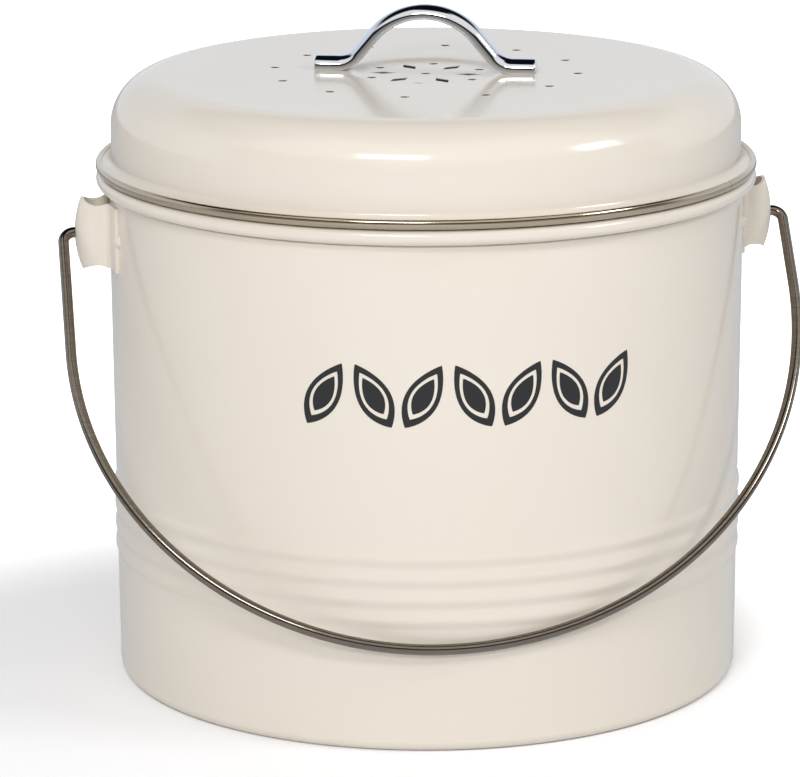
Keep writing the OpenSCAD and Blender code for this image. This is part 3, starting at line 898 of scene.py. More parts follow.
@dataclass
class CaddyBody:
    """The round steel body: wall with ribs and rolled edge, floor pan, two ears and a printed row."""

    shop: Workshop
    coat: bpy.types.Material
    ink: bpy.types.Material
    wall_r: float = 100
    taper: float = 0.85
    sheet_t: float = 0.8
    bead_r: float = 2.3
    bead_lean: float = 0.25
    bead_neck: float = 1.6
    bead_end: float = -125
    bead_steps: int = 48
    neck_groove: tuple[Point, ...] = ((0, 0.5), (0.35, 0.8), (0.35, 1.4), (0, 1.9))
    corner_r: float = 3.5
    hem_w: float = 2.7
    straight_from: float = 128.15
    rib_steps: int = 20
    rib_count: int = 4
    rib_z: float = 41.8
    rib_pitch: float = 6.4
    rib_depth: float = 0.6
    pan_raise: float = 2.4
    pan_step: float = 2.5
    nest_fit: float = 0.05

    @property
    def bead_z(self) -> float:
        """Height of the middle of the rolled edge, below the top of the wall in the frame."""
        return box_mm("wall_shell")[1].z - self.bead_r

    def wall_radius(self, z: float) -> float:
        """The wall's outer radius at a height, without the ribs."""
        base = self.wall_r - self.taper
        return self.wall_r if z > self.straight_from else base + self.taper * z / self.straight_from

    def wall_middle(self, z: float) -> float:
        """Radius of the middle of the sheet at a height, ribs included.

        Args:
            z: the height, in millimetres.

        Returns:
            The radius, where each rib swells out and back as one wave of a cosine.
        """
        turn = (z - self.rib_z) / self.rib_pitch
        ribbed = -0.5 < turn < self.rib_count - 0.5
        rise = self.rib_depth * (1 + math.cos(TURN * turn)) / 2 if ribbed else 0
        return self.wall_radius(z) - self.sheet_t / 2 + rise

    def wall(self) -> None:
        """Makes the wall, from the hem under the floor to the rolled edge."""
        corner = (self.wall_r - self.taper - self.corner_r, self.corner_r)
        curl_r = self.bead_r - self.sheet_t / 2
        curl = (self.wall_r - self.sheet_t / 2 + curl_r + self.bead_lean, self.bead_z)
        low, steps = self.rib_z - self.rib_pitch / 2, self.rib_steps * self.rib_count
        ribs = [low + self.rib_pitch * i / self.rib_steps for i in range(steps + 1)]
        neck = self.bead_z - self.bead_r - self.bead_neck
        path = [
            (corner[0] - self.hem_w, self.sheet_t / 2),
            *arc(corner, self.corner_r - self.sheet_t / 2, -90, 0),
            *((self.wall_middle(z), z) for z in ribs),
            (self.wall_middle(self.straight_from + 0.01), self.straight_from),
            *((self.wall_middle(neck) - in_by, neck + up) for in_by, up in self.neck_groove),
            *arc(curl, curl_r, 180, self.bead_end, self.bead_steps),
        ]
        mesh = self.shop.revolve(sheet_section(path, self.sheet_t), self.coat)
        seat("coated_wall", mesh, self.coat, Body.CADDY, ["wall_shell"])

    def pan(self) -> None:
        """Makes the raised floor pan that nests in the wall's foot."""
        corner_r = self.corner_r - self.sheet_t * 1.5 - self.nest_fit
        corner = (self.wall_r - self.taper - self.corner_r - self.nest_fit, self.sheet_t * 1.5 + corner_r)
        low = (corner[0] - self.hem_w, self.sheet_t * 1.5)
        high = (low[0] - self.pan_step - self.pan_raise, low[1] + self.pan_raise)
        path = [(0, high[1]), high, *ease(high, low), low, *arc(corner, corner_r, -90, 0),
                (corner[0] + corner_r, box_mm("base_pan")[1].z)]
        mesh = self.shop.revolve(sheet_section(path, self.sheet_t), self.coat)
        seat("floor_pan", mesh, self.coat, Body.CADDY, ["base_pan"])

    def build(self) -> None:
        """Builds the body's pieces."""
        self.wall()
        self.pan()
        for side, node in ((1, "right_ear"), (-1, "left_ear")):
            Ear(self.shop, self.coat, side, node).build()
        LeafRow(self.shop, self.ink, self).build()


@dataclass
class Ear:
    """A pressed bracket that is spot-welded to the wall and carries one end of the wire."""

    shop: Workshop
    coat: bpy.types.Material
    side: int
    node: str
    wall_r: float = 100
    width: float = 14
    height: float = 23.3
    sheet_t: float = 1
    crown_r: float = 31
    nose: float = 6
    root_r: float = 2.6
    flange: float = 16
    flange_h: float = 20.4
    hollow: float = 2.2
    weld_d: float = 5
    weld_rise: float = 0.5
    weld_sunk: float = 0.3
    edge_w: float = 0.25
    half_rows: int = 12
    wire_hole: float = 3.5

    def __post_init__(self) -> None:
        """Reads the ear's place from the frame."""
        low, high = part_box(self.node)
        self.face_x = max(abs(low.x), abs(high.x)) / MM
        self.z = (low.z + high.z) / 2 / MM
        self.pivot_z = pivot_height()
        self.axis_x = self.face_x - self.crown_r
        top_x = self.axis_x + math.sqrt(self.crown_r ** 2 - (self.height / 2) ** 2)
        self.half_span = (top_x - self.wall_r) / 2
        self.hollow_r = (self.half_span ** 2 + self.hollow ** 2) / (2 * self.hollow)
        reach, bend_y = self.wall_r + self.root_r + self.sheet_t, self.width / 2 + self.root_r
        self.root_x = math.sqrt(reach ** 2 - bend_y ** 2)

    def edge(self, x: float) -> float:
        """Half the ear's height at a distance from the caddy's axis, as its edges are hollowed."""
        across = min(abs(x - self.wall_r - self.half_span), self.half_span)
        return self.height / 2 - self.hollow + self.hollow_r - math.sqrt(self.hollow_r ** 2 - across ** 2)

    def plan(self) -> list[tuple[float, float, float]]:
        """The middle of the sheet, seen from above, on the left-hand side of the nose.

        Returns:
            Distance from the caddy's axis, distance from the ear's middle, and how far the point is
            from the crowned nose (0) to the bend at the root (1).
        """
        half = self.sheet_t / 2
        nose_x, side_y = self.face_x - half - self.nose, self.width / 2 - half
        bend = (self.root_x, self.width / 2 + self.root_r)
        near = math.degrees(math.atan2(bend[1], bend[0]))
        far = math.degrees(math.asin(self.flange / self.wall_r))
        nose = [(nose_x + self.nose * math.cos(a), side_y * math.sin(a), 0.0)
                for a in (math.radians(5 * i) for i in range(19))]
        straight = [(nose_x, side_y, i / 6) for i in range(1, 6)]
        root = [(x, y, 1.0) for x, y in arc(bend, self.root_r + half, 270, 180 + near, 14)]
        lap = [(x, y, 1.0) for x, y in arc((0, 0), self.wall_r + half, near, far, 8)]
        return nose + straight + root + lap[1:]

    def bent(self, x: float, share: float, z: float) -> float:
        """Where the crown takes a plan point.

        Args:
            x: the plan point's distance from the caddy's axis.
            share: how far it is from the nose (0) to the root (1).
            z: height above the ear's middle.

        Returns:
            The point's new distance from the axis.
        """
        if share >= 1:
            return x
        crown = self.axis_x + math.sqrt(max((x - self.axis_x) ** 2 - z ** 2, 0.0))
        crown = max(crown, self.root_x + 0.2)
        return crown + (self.root_x - crown) * share

    def place(self, x: float, y: float, share: float, row: float) -> Vector:
        """One point of the sheet.

        Args:
            x: the plan point's distance from the caddy's axis.
            y: its distance from the ear's middle.
            share: how far it is from the nose (0) to the root (1).
            row: from -1 at the lower edge to 1 at the upper one.

        Returns:
            The point, in millimetres.
        """
        limit = self.flange_h / 2 if share >= 1 else self.height / 2
        half = limit
        for _ in range(8):
            half = min(limit, self.edge(self.bent(x, share, half)))
        return Vector((self.bent(x, share, half * row), y, self.z + half * row))

    def build(self) -> None:
        """Makes the bracket with its two weld marks."""
        right = self.plan()
        across = [(x, -y, share) for x, y, share in reversed(right[1:])] + right
        heights = [i / self.half_rows for i in range(-self.half_rows, self.half_rows + 1)]
        rows = [[self.place(*point, row) for point in across] for row in heights]
        skin = modified(grid_mesh(rows), "SOLIDIFY", thickness=self.sheet_t * MM, offset=0)
        bore = round_punch(self.wire_hole, -self.nose, self.nose)
        bore.transform(Matrix.Translation((self.face_x * MM, 0, self.pivot_z * MM))
                       @ Matrix.Rotation(math.pi / 2, 4, "Y"))
        skin = self.shop.punch(outward(skin), bore, self.coat)
        skin = softened(skin, self.edge_w, 3, 50)
        rise = self.sheet_t + self.weld_rise
        dome = arc((0, rise - self.weld_d / 2), self.weld_d / 2, 90, 0, 12)
        marks = []
        for up in (1, -1):
            mark = self.shop.revolve([*dome, (0, -self.weld_sunk)], self.coat, 32)
            turn = math.asin(up * self.flange / self.wall_r)
            mark.transform(Matrix.Rotation(turn, 4, "Z")
                           @ Matrix.Translation((self.wall_r * MM, 0, self.pivot_z * MM))
                           @ Matrix.Rotation(math.pi / 2, 4, "Y"))
            marks.append(mark)
        mesh = joined([skin, *marks])
        if self.side < 0:
            mesh.transform(Matrix.Rotation(math.pi, 4, "Z"))
        name = "right_ear_bracket" if self.side > 0 else "left_ear_bracket"
        seat(name, mesh, self.coat, Body.CADDY, [self.node])


@dataclass
class LeafRow:
    """Seven simple leaves printed in a row across the front."""

    shop: Workshop
    ink: bpy.types.Material
    body: CaddyBody
    count: int = 7
    pitch: float = 15
    lean: float = 30
    height: float = 111.3
    length: float = 22
    width: float = 10
    band: float = 1.4
    gap: float = 0.85
    film: float = 0.05
    sunk: float = 0.05
    tip_inset: float = 2.1
    fullness: float = 0.92
    belly: float = 0.18

    def blade(self, inset: float, steps: int = 28) -> list[tuple[float, float]]:
        """Half-width and height along a leaf.

        Args:
            inset: how far the outline is drawn in.
            steps: stretches from tip to tip.

        Returns:
            Pairs from the lower tip to the upper one.
        """
        tip, widest = self.length / 2 - self.tip_inset * inset, max(self.width / 2 - inset, 0)
        found = []
        for i in range(steps + 1):
            t = -math.cos(math.pi * i / steps)
            found.append((widest * (1 - t * t) ** self.fullness * (1 - self.belly * t), tip * t))
        return found

    def strip(self, inner: list[tuple[float, float]] | None, outer: list[tuple[float, float]],
              side: int) -> Mesh:
        """A thin film between two outlines on one side, or across the whole leaf.

        Args:
            inner: the inner outline, or None to fill the leaf.
            outer: the outer outline.
            side: 1 or -1 for the side of the leaf.

        Returns:
            The closed film.
        """
        rows = []
        for i, (half, z) in enumerate(outer):
            if inner is None:
                row = [(half * k / 4, z) for k in range(-4, 5)]
            else:
                near, near_z = inner[i]
                row = [(side * (near + (half - near) * k / 2), near_z + (z - near_z) * k / 2)
                       for k in range(3)]
            rows.append([Vector((x, 0, z)) for x, z in row])
        return grid_mesh(rows)

    def build(self) -> None:
        """Prints the row."""
        outer, inner = self.blade(0), self.blade(self.band)
        heart = self.blade(self.band + self.gap)
        flat = outward(joined([self.strip(inner, outer, 1), self.strip(inner, outer, -1),
                               self.strip(None, heart, 1)]))
        leaf = modified(flat, "SOLIDIFY", thickness=(self.film + self.sunk) * MM, offset=0)
        leaf.transform(Matrix.Translation((0, (self.sunk - self.film) / 2 * MM, 0)))
        mesh = self.shop.run(
            self.shop.garlanding, leaf, Count=self.count, Pitch=self.pitch * MM,
            Lean=math.radians(self.lean), Height=self.height * MM,
            Wall_Radius=(self.body.wall_r - self.body.taper) * MM,
            Wall_Slope=self.body.taper / self.body.straight_from, Material=self.ink)
        seat("printed_leaf_row", outward(mesh), self.ink, Body.CADDY)


# ---------------------------------------------------------------- the carrying handle


@dataclass
class CarryWire:
    """The loop of wire that hangs from the ears and leans on the wall.

    head_outer and head_inner say how wide a rounded edge of its heads is, and what share of the
    head's radius is left there.
    """

    shop: Workshop
    metal: bpy.types.Material
    wire_r: float = 1.7
    reach: float = 150
    skew: float = 8
    bend_r: float = 3.5
    out: float = 0.2
    head_r: float = 2.8
    head_t: float = 1.4
    head_gap: float = 1.2
    head_outer: Point = (0.2, 0.86)
    head_inner: Point = (0.25, 0.8)
    head_step: float = 0.02
    ear_t: float = 1

    def build(self) -> None:
        """Draws the wire from head to head."""
        axis_z = pivot_height()
        drop = axis_z - box_mm("bail_wire")[0].z - self.wire_r
        tilt = math.acos(drop / self.reach)
        left = [(-x, z, r) for x, z, r in self.half(self.skew)]
        flat = left + self.half(-self.skew)[-2::-1]
        points = [Vector((x, z * math.sin(tilt), axis_z + z * math.cos(tilt))) for x, z, _ in flat]
        mesh = self.shop.wire(points, [r for _, _, r in flat], self.metal)
        seat("carrying_wire", mesh, self.metal, Body.BAIL, ["bail_wire"])

    def half(self, centre_x: float) -> list[tuple[float, float, float]]:
        """Half of the loop laid flat, from its head down to its lowest point.

        Args:
            centre_x: how far outwards the middle of this half's sweep is.

        Returns:
            Place outwards, height from the pivots, and the wire's radius at each point.
        """
        face_x = box_mm("right_ear")[1].x
        bend_x = face_x + self.out
        radius = bend_x + self.bend_r - centre_x
        down = self.reach - radius
        head = face_x - self.ear_t - self.head_gap
        far = head - self.head_t
        (outer_w, outer_share), (inner_w, inner_share) = self.head_outer, self.head_inner
        upset = [(far, 0, self.head_r * outer_share), (far + outer_w, 0, self.head_r),
                 (head - inner_w, 0, self.head_r), (head, 0, self.head_r * inner_share),
                 (head + self.head_step, 0, self.wire_r)]
        line = [*arc((bend_x, -self.bend_r), self.bend_r, 90, 0, 16),
                *arc((centre_x, -down), radius, 0, -90, 96)]
        return upset + [(x, z, self.wire_r) for x, z in line]


# ---------------------------------------------------------------- the bucket inside


@dataclass
class InnerBucket:
    """The plastic bucket that lifts out."""

    shop: Workshop
    plastic: bpy.types.Material
    rim_r: float = 98
    wall: float = 1.6
    taper: float = 6
    corner_r: float = 5
    lip_t: float = 1.4
    mouth_soft: float = 0.5

    def build(self) -> None:
        """Makes the bucket."""
        low, high = box_mm("inner_bucket")
        foot_r = self.rim_r - self.taper
        corner = (foot_r - self.corner_r, low.z + self.corner_r)
        lip_mid = (high.x - self.lip_t / 2, high.z - self.lip_t / 2)
        mouth = (self.rim_r - self.wall + self.mouth_soft, high.z - self.mouth_soft)
        outline = [
            (0, low.z), *arc(corner, self.corner_r, -90, 0), (self.rim_r, high.z - self.lip_t),
            *arc(lip_mid, self.lip_t / 2, -90, 90), (mouth[0], high.z),
            *arc(mouth, self.mouth_soft, 90, 180, 6),
            *arc(corner, self.corner_r - self.wall, 0, -90), (0, low.z + self.wall),
        ]
        mesh = self.shop.revolve(outline, self.plastic)
        seat("plastic_bucket", mesh, self.plastic, Body.BUCKET, ["inner_bucket"])


# ---------------------------------------------------------------- the lid


@dataclass(frozen=True)
class LidFinishes:
    """The lid's finishes."""

    coat: bpy.types.Material
    rim: bpy.types.Material
    chrome: bpy.types.Material
    screw: bpy.types.Material
    collar: bpy.types.Material


@dataclass
class Lid:
    """The lift-off lid: vented shell, steel ring, handle, screws with washers, and collar."""

    shop: Workshop
    finish: LidFinishes
    wall_r: float = 99.2
    sheet_t: float = 0.8
    shoulder_r: float = 16
    flare_r: float = 3.4
    ring_w: float = 2.1
    flange_bite: float = 0.85
    dish_r: float = 20
    dish_slope: float = 4.6
    dish_depth: float = 1
    turn: float = -15.7
    seam: float = -34.3
    seam_w: float = 0.2
    vent_d: float = 3
    vent_ring_r: float = 48
    vent_count: int = 12
    slot_in: float = 8.7
    slot_out: float = 18.3
    slot_w: float = 4.4
    slot_count: int = 6
    screw_x: float = 29.5
    screw_hole: float = 4.3
    tear: float = 2
    lip: float = 0.25
    edge_w: float = 0.12
    collar_r: float = 95.3
    collar_t: float = 0.6
    collar_drop: float = 10.6
    collar_land: float = 4.5
    collar_knee: float = 0.6

    def __post_init__(self) -> None:
        """Reads the lid's heights from the frame."""
        low, high = box_mm("lid_shell")
        self.flange_z, self.top_z = low.z, high.z
        self.ring_r = box_mm("rim_ring")[1].x

    def shell(self) -> None:
        """Makes the pressed shell with its vents."""
        half = self.sheet_t / 2
        ring_in = self.ring_r - self.ring_w
        top, sheet_r = self.top_z - half, self.wall_r - half
        dish, rim = (self.dish_r, top - self.dish_depth), (self.dish_r + self.dish_slope, top)
        flare = (sheet_r + self.flare_r, self.flange_z + half + self.flare_r)
        shoulder = (self.wall_r - self.shoulder_r, self.top_z - self.shoulder_r)
        path = [(0, dish[1]), dish, *ease(dish, rim), rim,
                *arc(shoulder, self.shoulder_r - half, 90, 0, 40),
                *arc(flare, self.flare_r, 180, 270),
                (ring_in + self.flange_bite, self.flange_z + half)]
        coat = self.finish.coat
        mesh = self.shop.revolve(sheet_section(path, self.sheet_t), coat)
        dished, middle = self.top_z - self.dish_depth, (self.slot_in + self.slot_out) / 2
        vent, bolt = circle(self.vent_d), circle(self.screw_hole)
        slot = [(self.slot_in, 0), (middle, -self.slot_w / 2), (self.slot_out, 0), (middle, self.slot_w / 2)]
        half_turn = 180 / self.slot_count
        openings = [
            (self.torn(vent, dished), 1, 0, 0),
            (self.torn(slot, dished), self.slot_count, 0, 0),
            (self.torn(vent, dished), self.slot_count, self.slot_out, half_turn),
            (self.torn(vent, self.top_z), self.vent_count, self.vent_ring_r, 0),
            (self.torn(bolt, self.top_z), 2, self.screw_x, 0),
        ]
        for punch, count, radius, start in openings:
            mesh = self.shop.punch(mesh, punch, coat, count, radius, start + self.turn)
        mesh = softened(mesh, self.edge_w)
        piece = seat("coated_lid", mesh, coat, Body.LID, ["lid_shell"])
        flatten_shading(piece)

    def torn(self, outline: Outline, surface: float) -> Mesh:
        """A punch that leaves a hole wider underneath, as the sheet tears away below the cut.

        Args:
            outline: the hole, as seen from above.
            surface: the height of the sheet's upper face.

        Returns:
            The punch.
        """
        centre = Vector((sum(x for x, _ in outline), sum(y for _, y in outline))) / len(outline)
        widest = max((Vector(p) - centre).length for p in outline)
        levels = ((surface - self.sheet_t - 0.2, 1 + self.tear / widest), (surface - self.lip, 1),
                  (surface + self.sheet_t, 1))
        rows = [[(centre + (Vector(p) - centre) * wider).to_3d() + Vector((0, 0, z)) for p in outline]
                for z, wider in levels]
        return capped(grid_mesh(rows, closed=True), len(outline), len(rows))

    def ring(self) -> None:
        """Makes the polished ring that hems the flange, with its butt seam."""
        low, high = box_mm("rim_ring")
        middle = Vector((self.ring_r - self.ring_w / 2, (low.z + high.z) / 2))
        half_w, half_h = self.ring_w / 2, (high.z - low.z) / 2
        outline = [(middle.x + half_w * x, middle.y + half_h * z) for x, z in circle(2, 36)]
        steel = self.finish.rim
        mesh = self.shop.revolve(outline, steel, 2 * SEGMENTS)
        past = 10
        slit = bar(self.ring_r - past, self.ring_r + past, self.seam_w, low.z - 1, high.z + 1)
        mesh = self.shop.punch(mesh, slit, steel, 1, 0, self.seam)
        seat("polished_ring", mesh, steel, Body.LID, ["rim_ring"])

    def collar(self) -> None:
        """Makes the steel collar that guides the lid into the bucket."""
        low, high = box_mm("lid_collar")
        knee = (self.collar_r, low.z + self.collar_drop + self.collar_knee)
        land = (high.x - self.collar_t / 2, high.z - self.collar_land)
        path = [(self.collar_r, low.z), knee, *ease(knee, land, False), land, (land[0], high.z)]
        mesh = self.shop.revolve(sheet_section(path, self.collar_t), self.finish.collar)
        seat("steel_collar", mesh, self.finish.collar, Body.LID, ["lid_collar"])

    def build(self) -> None:
        """Builds the lid's pieces."""
        self.shell()
        self.ring()
        self.collar()
        Grip(self.finish.chrome, self.turn).build()
        Fastenings(self.shop, self.finish.screw, self.turn, self.screw_x).build()


@dataclass
class Grip:
    """The arched handle: a strap with a flat underside and a crowned back."""

    chrome: bpy.types.Material
    turn: float
    length: float = 70
    width: float = 8.5
    thickness: float = 4.4
    arch_r: float = 23.6
    slope: float = 50
    bend_r: float = 8
    end_r: float = 0.7
    side_share: float = 0.12
    crown_power: float = 0.92
    corner: float = 0.3
    end_steps: int = 6

    def section(self) -> list[Point]:
        """The strap's section: place across and height above its middle."""
        side_h = self.thickness * self.side_share
        crown = self.thickness - side_h
        half_w, half_t = self.width / 2, self.thickness / 2
        foot = arc((half_w - self.corner, self.corner - half_t), self.corner, 0, -90, 5)
        back = [(half_w * math.cos(a), side_h - half_t + crown * math.sin(a) ** self.crown_power)
                for a in (math.pi * i / 40 for i in range(41))]
        return [*back, *((-x, y) for x, y in foot), *reversed(foot)]

    def middle(self) -> list[Point]:
        """The middle of the strap from the arch's top to one foot's end."""
        low, high = box_mm("lid_handle")
        foot_z, radius = low.z + self.thickness / 2, self.arch_r - self.thickness / 2
        slope, both = math.radians(self.slope), radius + self.bend_r
        leg = (high.z - low.z - self.thickness - both * (1 - math.cos(slope))) / math.sin(slope)
        bend_x = both * math.sin(slope) + leg * math.cos(slope)
        return [*arc((0, high.z - self.arch_r), radius, 90, 90 - self.slope, 40),
                *arc((bend_x, foot_z + self.bend_r), self.bend_r, 270 - self.slope, 270, 20),
                (self.length / 2 - self.end_r, foot_z)]

    def build(self) -> None:
        """Sweeps the section along the strap and rounds its ends."""
        half = self.middle()
        path = [Vector((-x, z)) for x, z in reversed(half[1:])] + [Vector(p) for p in half]
        shape = self.section()
        rows = [self.ring(path, i, shape) for i in range(len(path))]
        for end, outward_x in ((rows[0], -1), (rows[-1], 1)):
            centre = sum(end, Vector()) / len(end)
            rounds = []
            for i in range(1, self.end_steps + 1):
                a = math.pi / 2 * i / self.end_steps
                shrink = self.end_r * (1 - math.cos(a))
                step = Vector((outward_x * self.end_r * math.sin(a), 0, 0))
                rounds.append([centre + self.drawn_in(p - centre, shrink) + step for p in end])
            rows = rounds[::-1] + rows if outward_x < 0 else rows + rounds
        mesh = capped(grid_mesh(rows, closed=True), len(shape), len(rows))
        mesh.transform(Matrix.Rotation(math.radians(self.turn), 4, "Z"))
        seat("chromed_grip", mesh, self.chrome, Body.LID, ["lid_handle"])

    def drawn_in(self, offset: Vector, shrink: float) -> Vector:
        """An end point's offset, brought in towards the strap's middle."""
        return Vector((offset.x, offset.y * (1 - 2 * shrink / self.width),
                       offset.z * (1 - 2 * shrink / self.thickness)))

    def ring(self, path: Sequence[Vector], i: int, shape: Sequence[Point]) -> list[Vector]:
        """Sets the section square to the path.

        Args:
            path: the middle of the strap, as distance from the arch's middle and height.
            i: which of its points.
            shape: the section.

        Returns:
            The section's points there, in millimetres.
        """
        ahead = (path[min(i + 1, len(path) - 1)] - path[max(i - 1, 0)]).normalized()
        up = Vector((-ahead.y, ahead.x))
        return [Vector((path[i].x + up.x * y, x, path[i].y + up.y * y)) for x, y in shape]


@dataclass
class Fastenings:
    """The two screws that hold the handle from inside, with their washers."""

    shop: Workshop
    steel: bpy.types.Material
    turn: float
    screw_x: float
    screw_d: float = 3.9
    head_d: float = 7.2
    head_h: float = 2.2
    drive_w: float = 1
    drive_h: float = 1
    hole_play: float = 0.4
    head_edge: float = 0.5
    point_edge: float = 0.3
    washer_r: float = 4.4
    washer_edge: float = 0.15

    def build(self) -> None:
        """Makes both pairs."""
        low, high = box_mm("handle_screws")
        head, shank, edge, point = self.head_d / 2, self.screw_d / 2, self.head_edge, self.point_edge
        outline = [(0, low.z), (head - edge, low.z), *arc((head - edge, low.z + edge), edge, -90, 0, 6),
                   (head, low.z + self.head_h), (shank, low.z + self.head_h), (shank, high.z - point),
                   (shank - point, high.z), (0, high.z)]
        screw = self.shop.revolve(outline, self.steel, 48)
        drive = bar(-self.head_d, self.head_d, self.drive_w, low.z - 1, low.z + self.drive_h)
        screw = self.shop.punch(screw, drive, self.steel)
        screws = self.shop.spread(screw, self.steel, 2, self.screw_x, self.turn)
        seat("slotted_screws", outward(screws), self.steel, Body.LID, ["handle_screws"])
        low, high = box_mm("screw_washers")
        ring = rounded_ring(shank + self.hole_play / 2, self.washer_r, low.z, high.z, self.washer_edge)
        washer = self.shop.revolve(ring, self.steel, 48)
        washers = self.shop.spread(washer, self.steel, 2, self.screw_x, self.turn)
        seat("flat_washers", outward(washers), self.steel, Body.LID, ["screw_washers"])


# ---------------------------------------------------------------- the filter in the lid


@dataclass
class OdourFilter:
    """The charcoal filter with its holder, which the screws clamp, and its cover."""

    shop: Workshop
    plastic: bpy.types.Material
    felt: bpy.types.Material
    turn: float = -15.7
    holder_r: float = 58.4
    holder_t: float = 2
    spoke_count: int = 6
    spoke_w: float = 4
    spoke_t: float = 2
    spider_w: float = 7
    screw_x: float = 29.5
    washer_r: float = 4.4
    boss_r: float = 6.2
    screw_hole: float = 4.3
    cover_r: float = 60.75
    cover_t: float = 2
    skirt_t: float = 1.8
    grille_reach: float = 53.6
    grille_gap: float = 5
    grille_bar: float = 3
    round_facets: int = 144
    spider_drop: float = 1.5
    spoke_sunk: float = 0.01
    washer_t: float = 0.8
    washer_play: float = 0.3
    cover_edge: float = 0.6
    skirt_edge: float = 0.3
    pad_edge: float = 2.2
    pad_rings: int = 8
    pad_ring_gap: float = 6
    pad_sag: float = 0.12

    def holder(self) -> None:
        """Makes the holder: a round wall, and a spider with two bosses."""
        low, high = box_mm("filter_holder")
        top = high.z - self.spider_drop
        wall = self.shop.revolve(rounded_ring(self.holder_r, self.holder_r + self.holder_t, low.z, high.z),
                                 self.plastic, self.round_facets)
        half_w = self.spider_w / 2
        spider = self.shop.revolve(rounded_ring(self.screw_x - half_w, self.screw_x + half_w,
                                                top - self.spoke_t, top), self.plastic, 96)
        spoke = bar(self.screw_x + self.spoke_w / 2, self.holder_r + self.holder_t / 2, self.spoke_w,
                    top - self.spoke_t + self.spoke_sunk, top - self.spoke_sunk)
        spokes = self.shop.spread(spoke, self.plastic, self.spoke_count, 0,
                                  self.turn + 180 / self.spoke_count)
        washer_top = box_mm("screw_washers")[0].z + self.washer_t
        boss_z = box_mm("handle_screws")[0].z
        bore, pocket = self.screw_hole / 2, self.washer_r + self.washer_play
        boss = self.shop.revolve([
            (bore, high.z), (self.washer_r, high.z), (self.washer_r, top), (self.boss_r, top),
            (self.boss_r, boss_z), (pocket, boss_z), (pocket, washer_top), (bore, washer_top),
        ], self.plastic, 64)
        bosses = self.shop.spread(boss, self.plastic, 2, self.screw_x, self.turn)
        mesh = outward(joined([wall, spider, spokes, bosses]))
        seat("filter_frame", mesh, self.plastic, Body.LID, ["filter_holder"])

    def cover(self) -> None:
        """Makes the cover with its grille."""
        low, high = box_mm("filter_cover")
        outer, soft, trim = self.cover_r + self.skirt_t, self.cover_edge, self.skirt_edge
        outline = [
            (0, low.z), (outer - soft, low.z), *arc((outer - soft, low.z + soft), soft, -90, 0, 6),
            (outer, high.z - trim), (outer - trim, high.z), (self.cover_r + trim, high.z),
            (self.cover_r, high.z - trim), (self.cover_r, low.z + self.cover_t), (0, low.z + self.cover_t),
        ]
        pitch = self.grille_gap + self.grille_bar
        rows = 2 * math.floor((self.grille_reach - self.grille_gap / 2) / pitch) + 1
        mesh = self.shop.revolve(outline, self.plastic, self.round_facets)
        mesh = self.shop.run(self.shop.grilling, mesh, Rows=rows, Pitch=pitch * MM, Gap=self.grille_gap * MM,
                             Bar=pitch / 2 * MM, Reach=self.grille_reach * MM,
                             Height=(low.z + self.cover_t / 2) * MM, Material=self.plastic)
        mesh = softened(mesh, self.skirt_edge)
        mesh.transform(Matrix.Rotation(math.radians(self.turn), 4, "Z"))
        seat("filter_grille", mesh, self.plastic, Body.FILTER, ["filter_cover"])

    def pad(self) -> None:
        """Makes the felt pad, soft at its edge, with swells about 20 mm long and shorter ones between."""
        low, high = box_mm("charcoal_filter")
        soft, flat_r = self.pad_edge, high.x - self.pad_edge
        rings = [flat_r - self.pad_ring_gap * i for i in range(1, self.pad_rings + 1)]
        outline = [
            (0, low.z), *((r, low.z) for r in reversed(rings)),
            *arc((flat_r, low.z + soft), soft, -90, 0, 8), *arc((flat_r, high.z - soft), soft, 0, 90, 8),
            *((r, high.z) for r in rings), (0, high.z),
        ]
        mesh = self.shop.revolve(outline, self.felt, self.round_facets)
        for vertex in mesh.vertices:
            at = vertex.co / MM
            wave = math.sin(at.x * 0.31) * math.cos(at.y * 0.27) + 0.5 * math.sin(at.x * 0.9 + at.y * 0.7)
            vertex.co.z -= math.copysign(self.pad_sag * (1.5 + wave) * MM, at.z - (low.z + high.z) / 2)
        piece = seat("charcoal_pad", mesh, self.felt, Body.FILTER, ["charcoal_filter"], 60)

    def build(self) -> None:
        """Builds the filter's pieces."""
        self.holder()
        self.cover()
        self.pad()


def rounded_ring(inner: float, outer: float, low: float, high: float, soft: float = 0.3) -> Outline:
    """The section of a ring with softened edges.

    Args:
        inner: its inner radius.
        outer: its outer radius.
        low: the height of its underside.
        high: the height of its top.
        soft: how far each corner is cut back.

    Returns:
        The outline, counter-clockwise.
    """
    return [(inner + soft, low), (outer - soft, low), (outer, low + soft), (outer, high - soft),
            (outer - soft, high), (inner + soft, high), (inner, high - soft), (inner, low + soft)]


# ---------------------------------------------------------------- the studio


def bearing(azimuth: float, elevation: float) -> Vector:
    """The unit vector from the caddy in a direction, in degrees from the front and above the horizon."""
    a, e = math.radians(azimuth), math.radians(elevation)
    return Vector((math.sin(a) * math.cos(e), -math.cos(a) * math.cos(e), math.sin(e)))


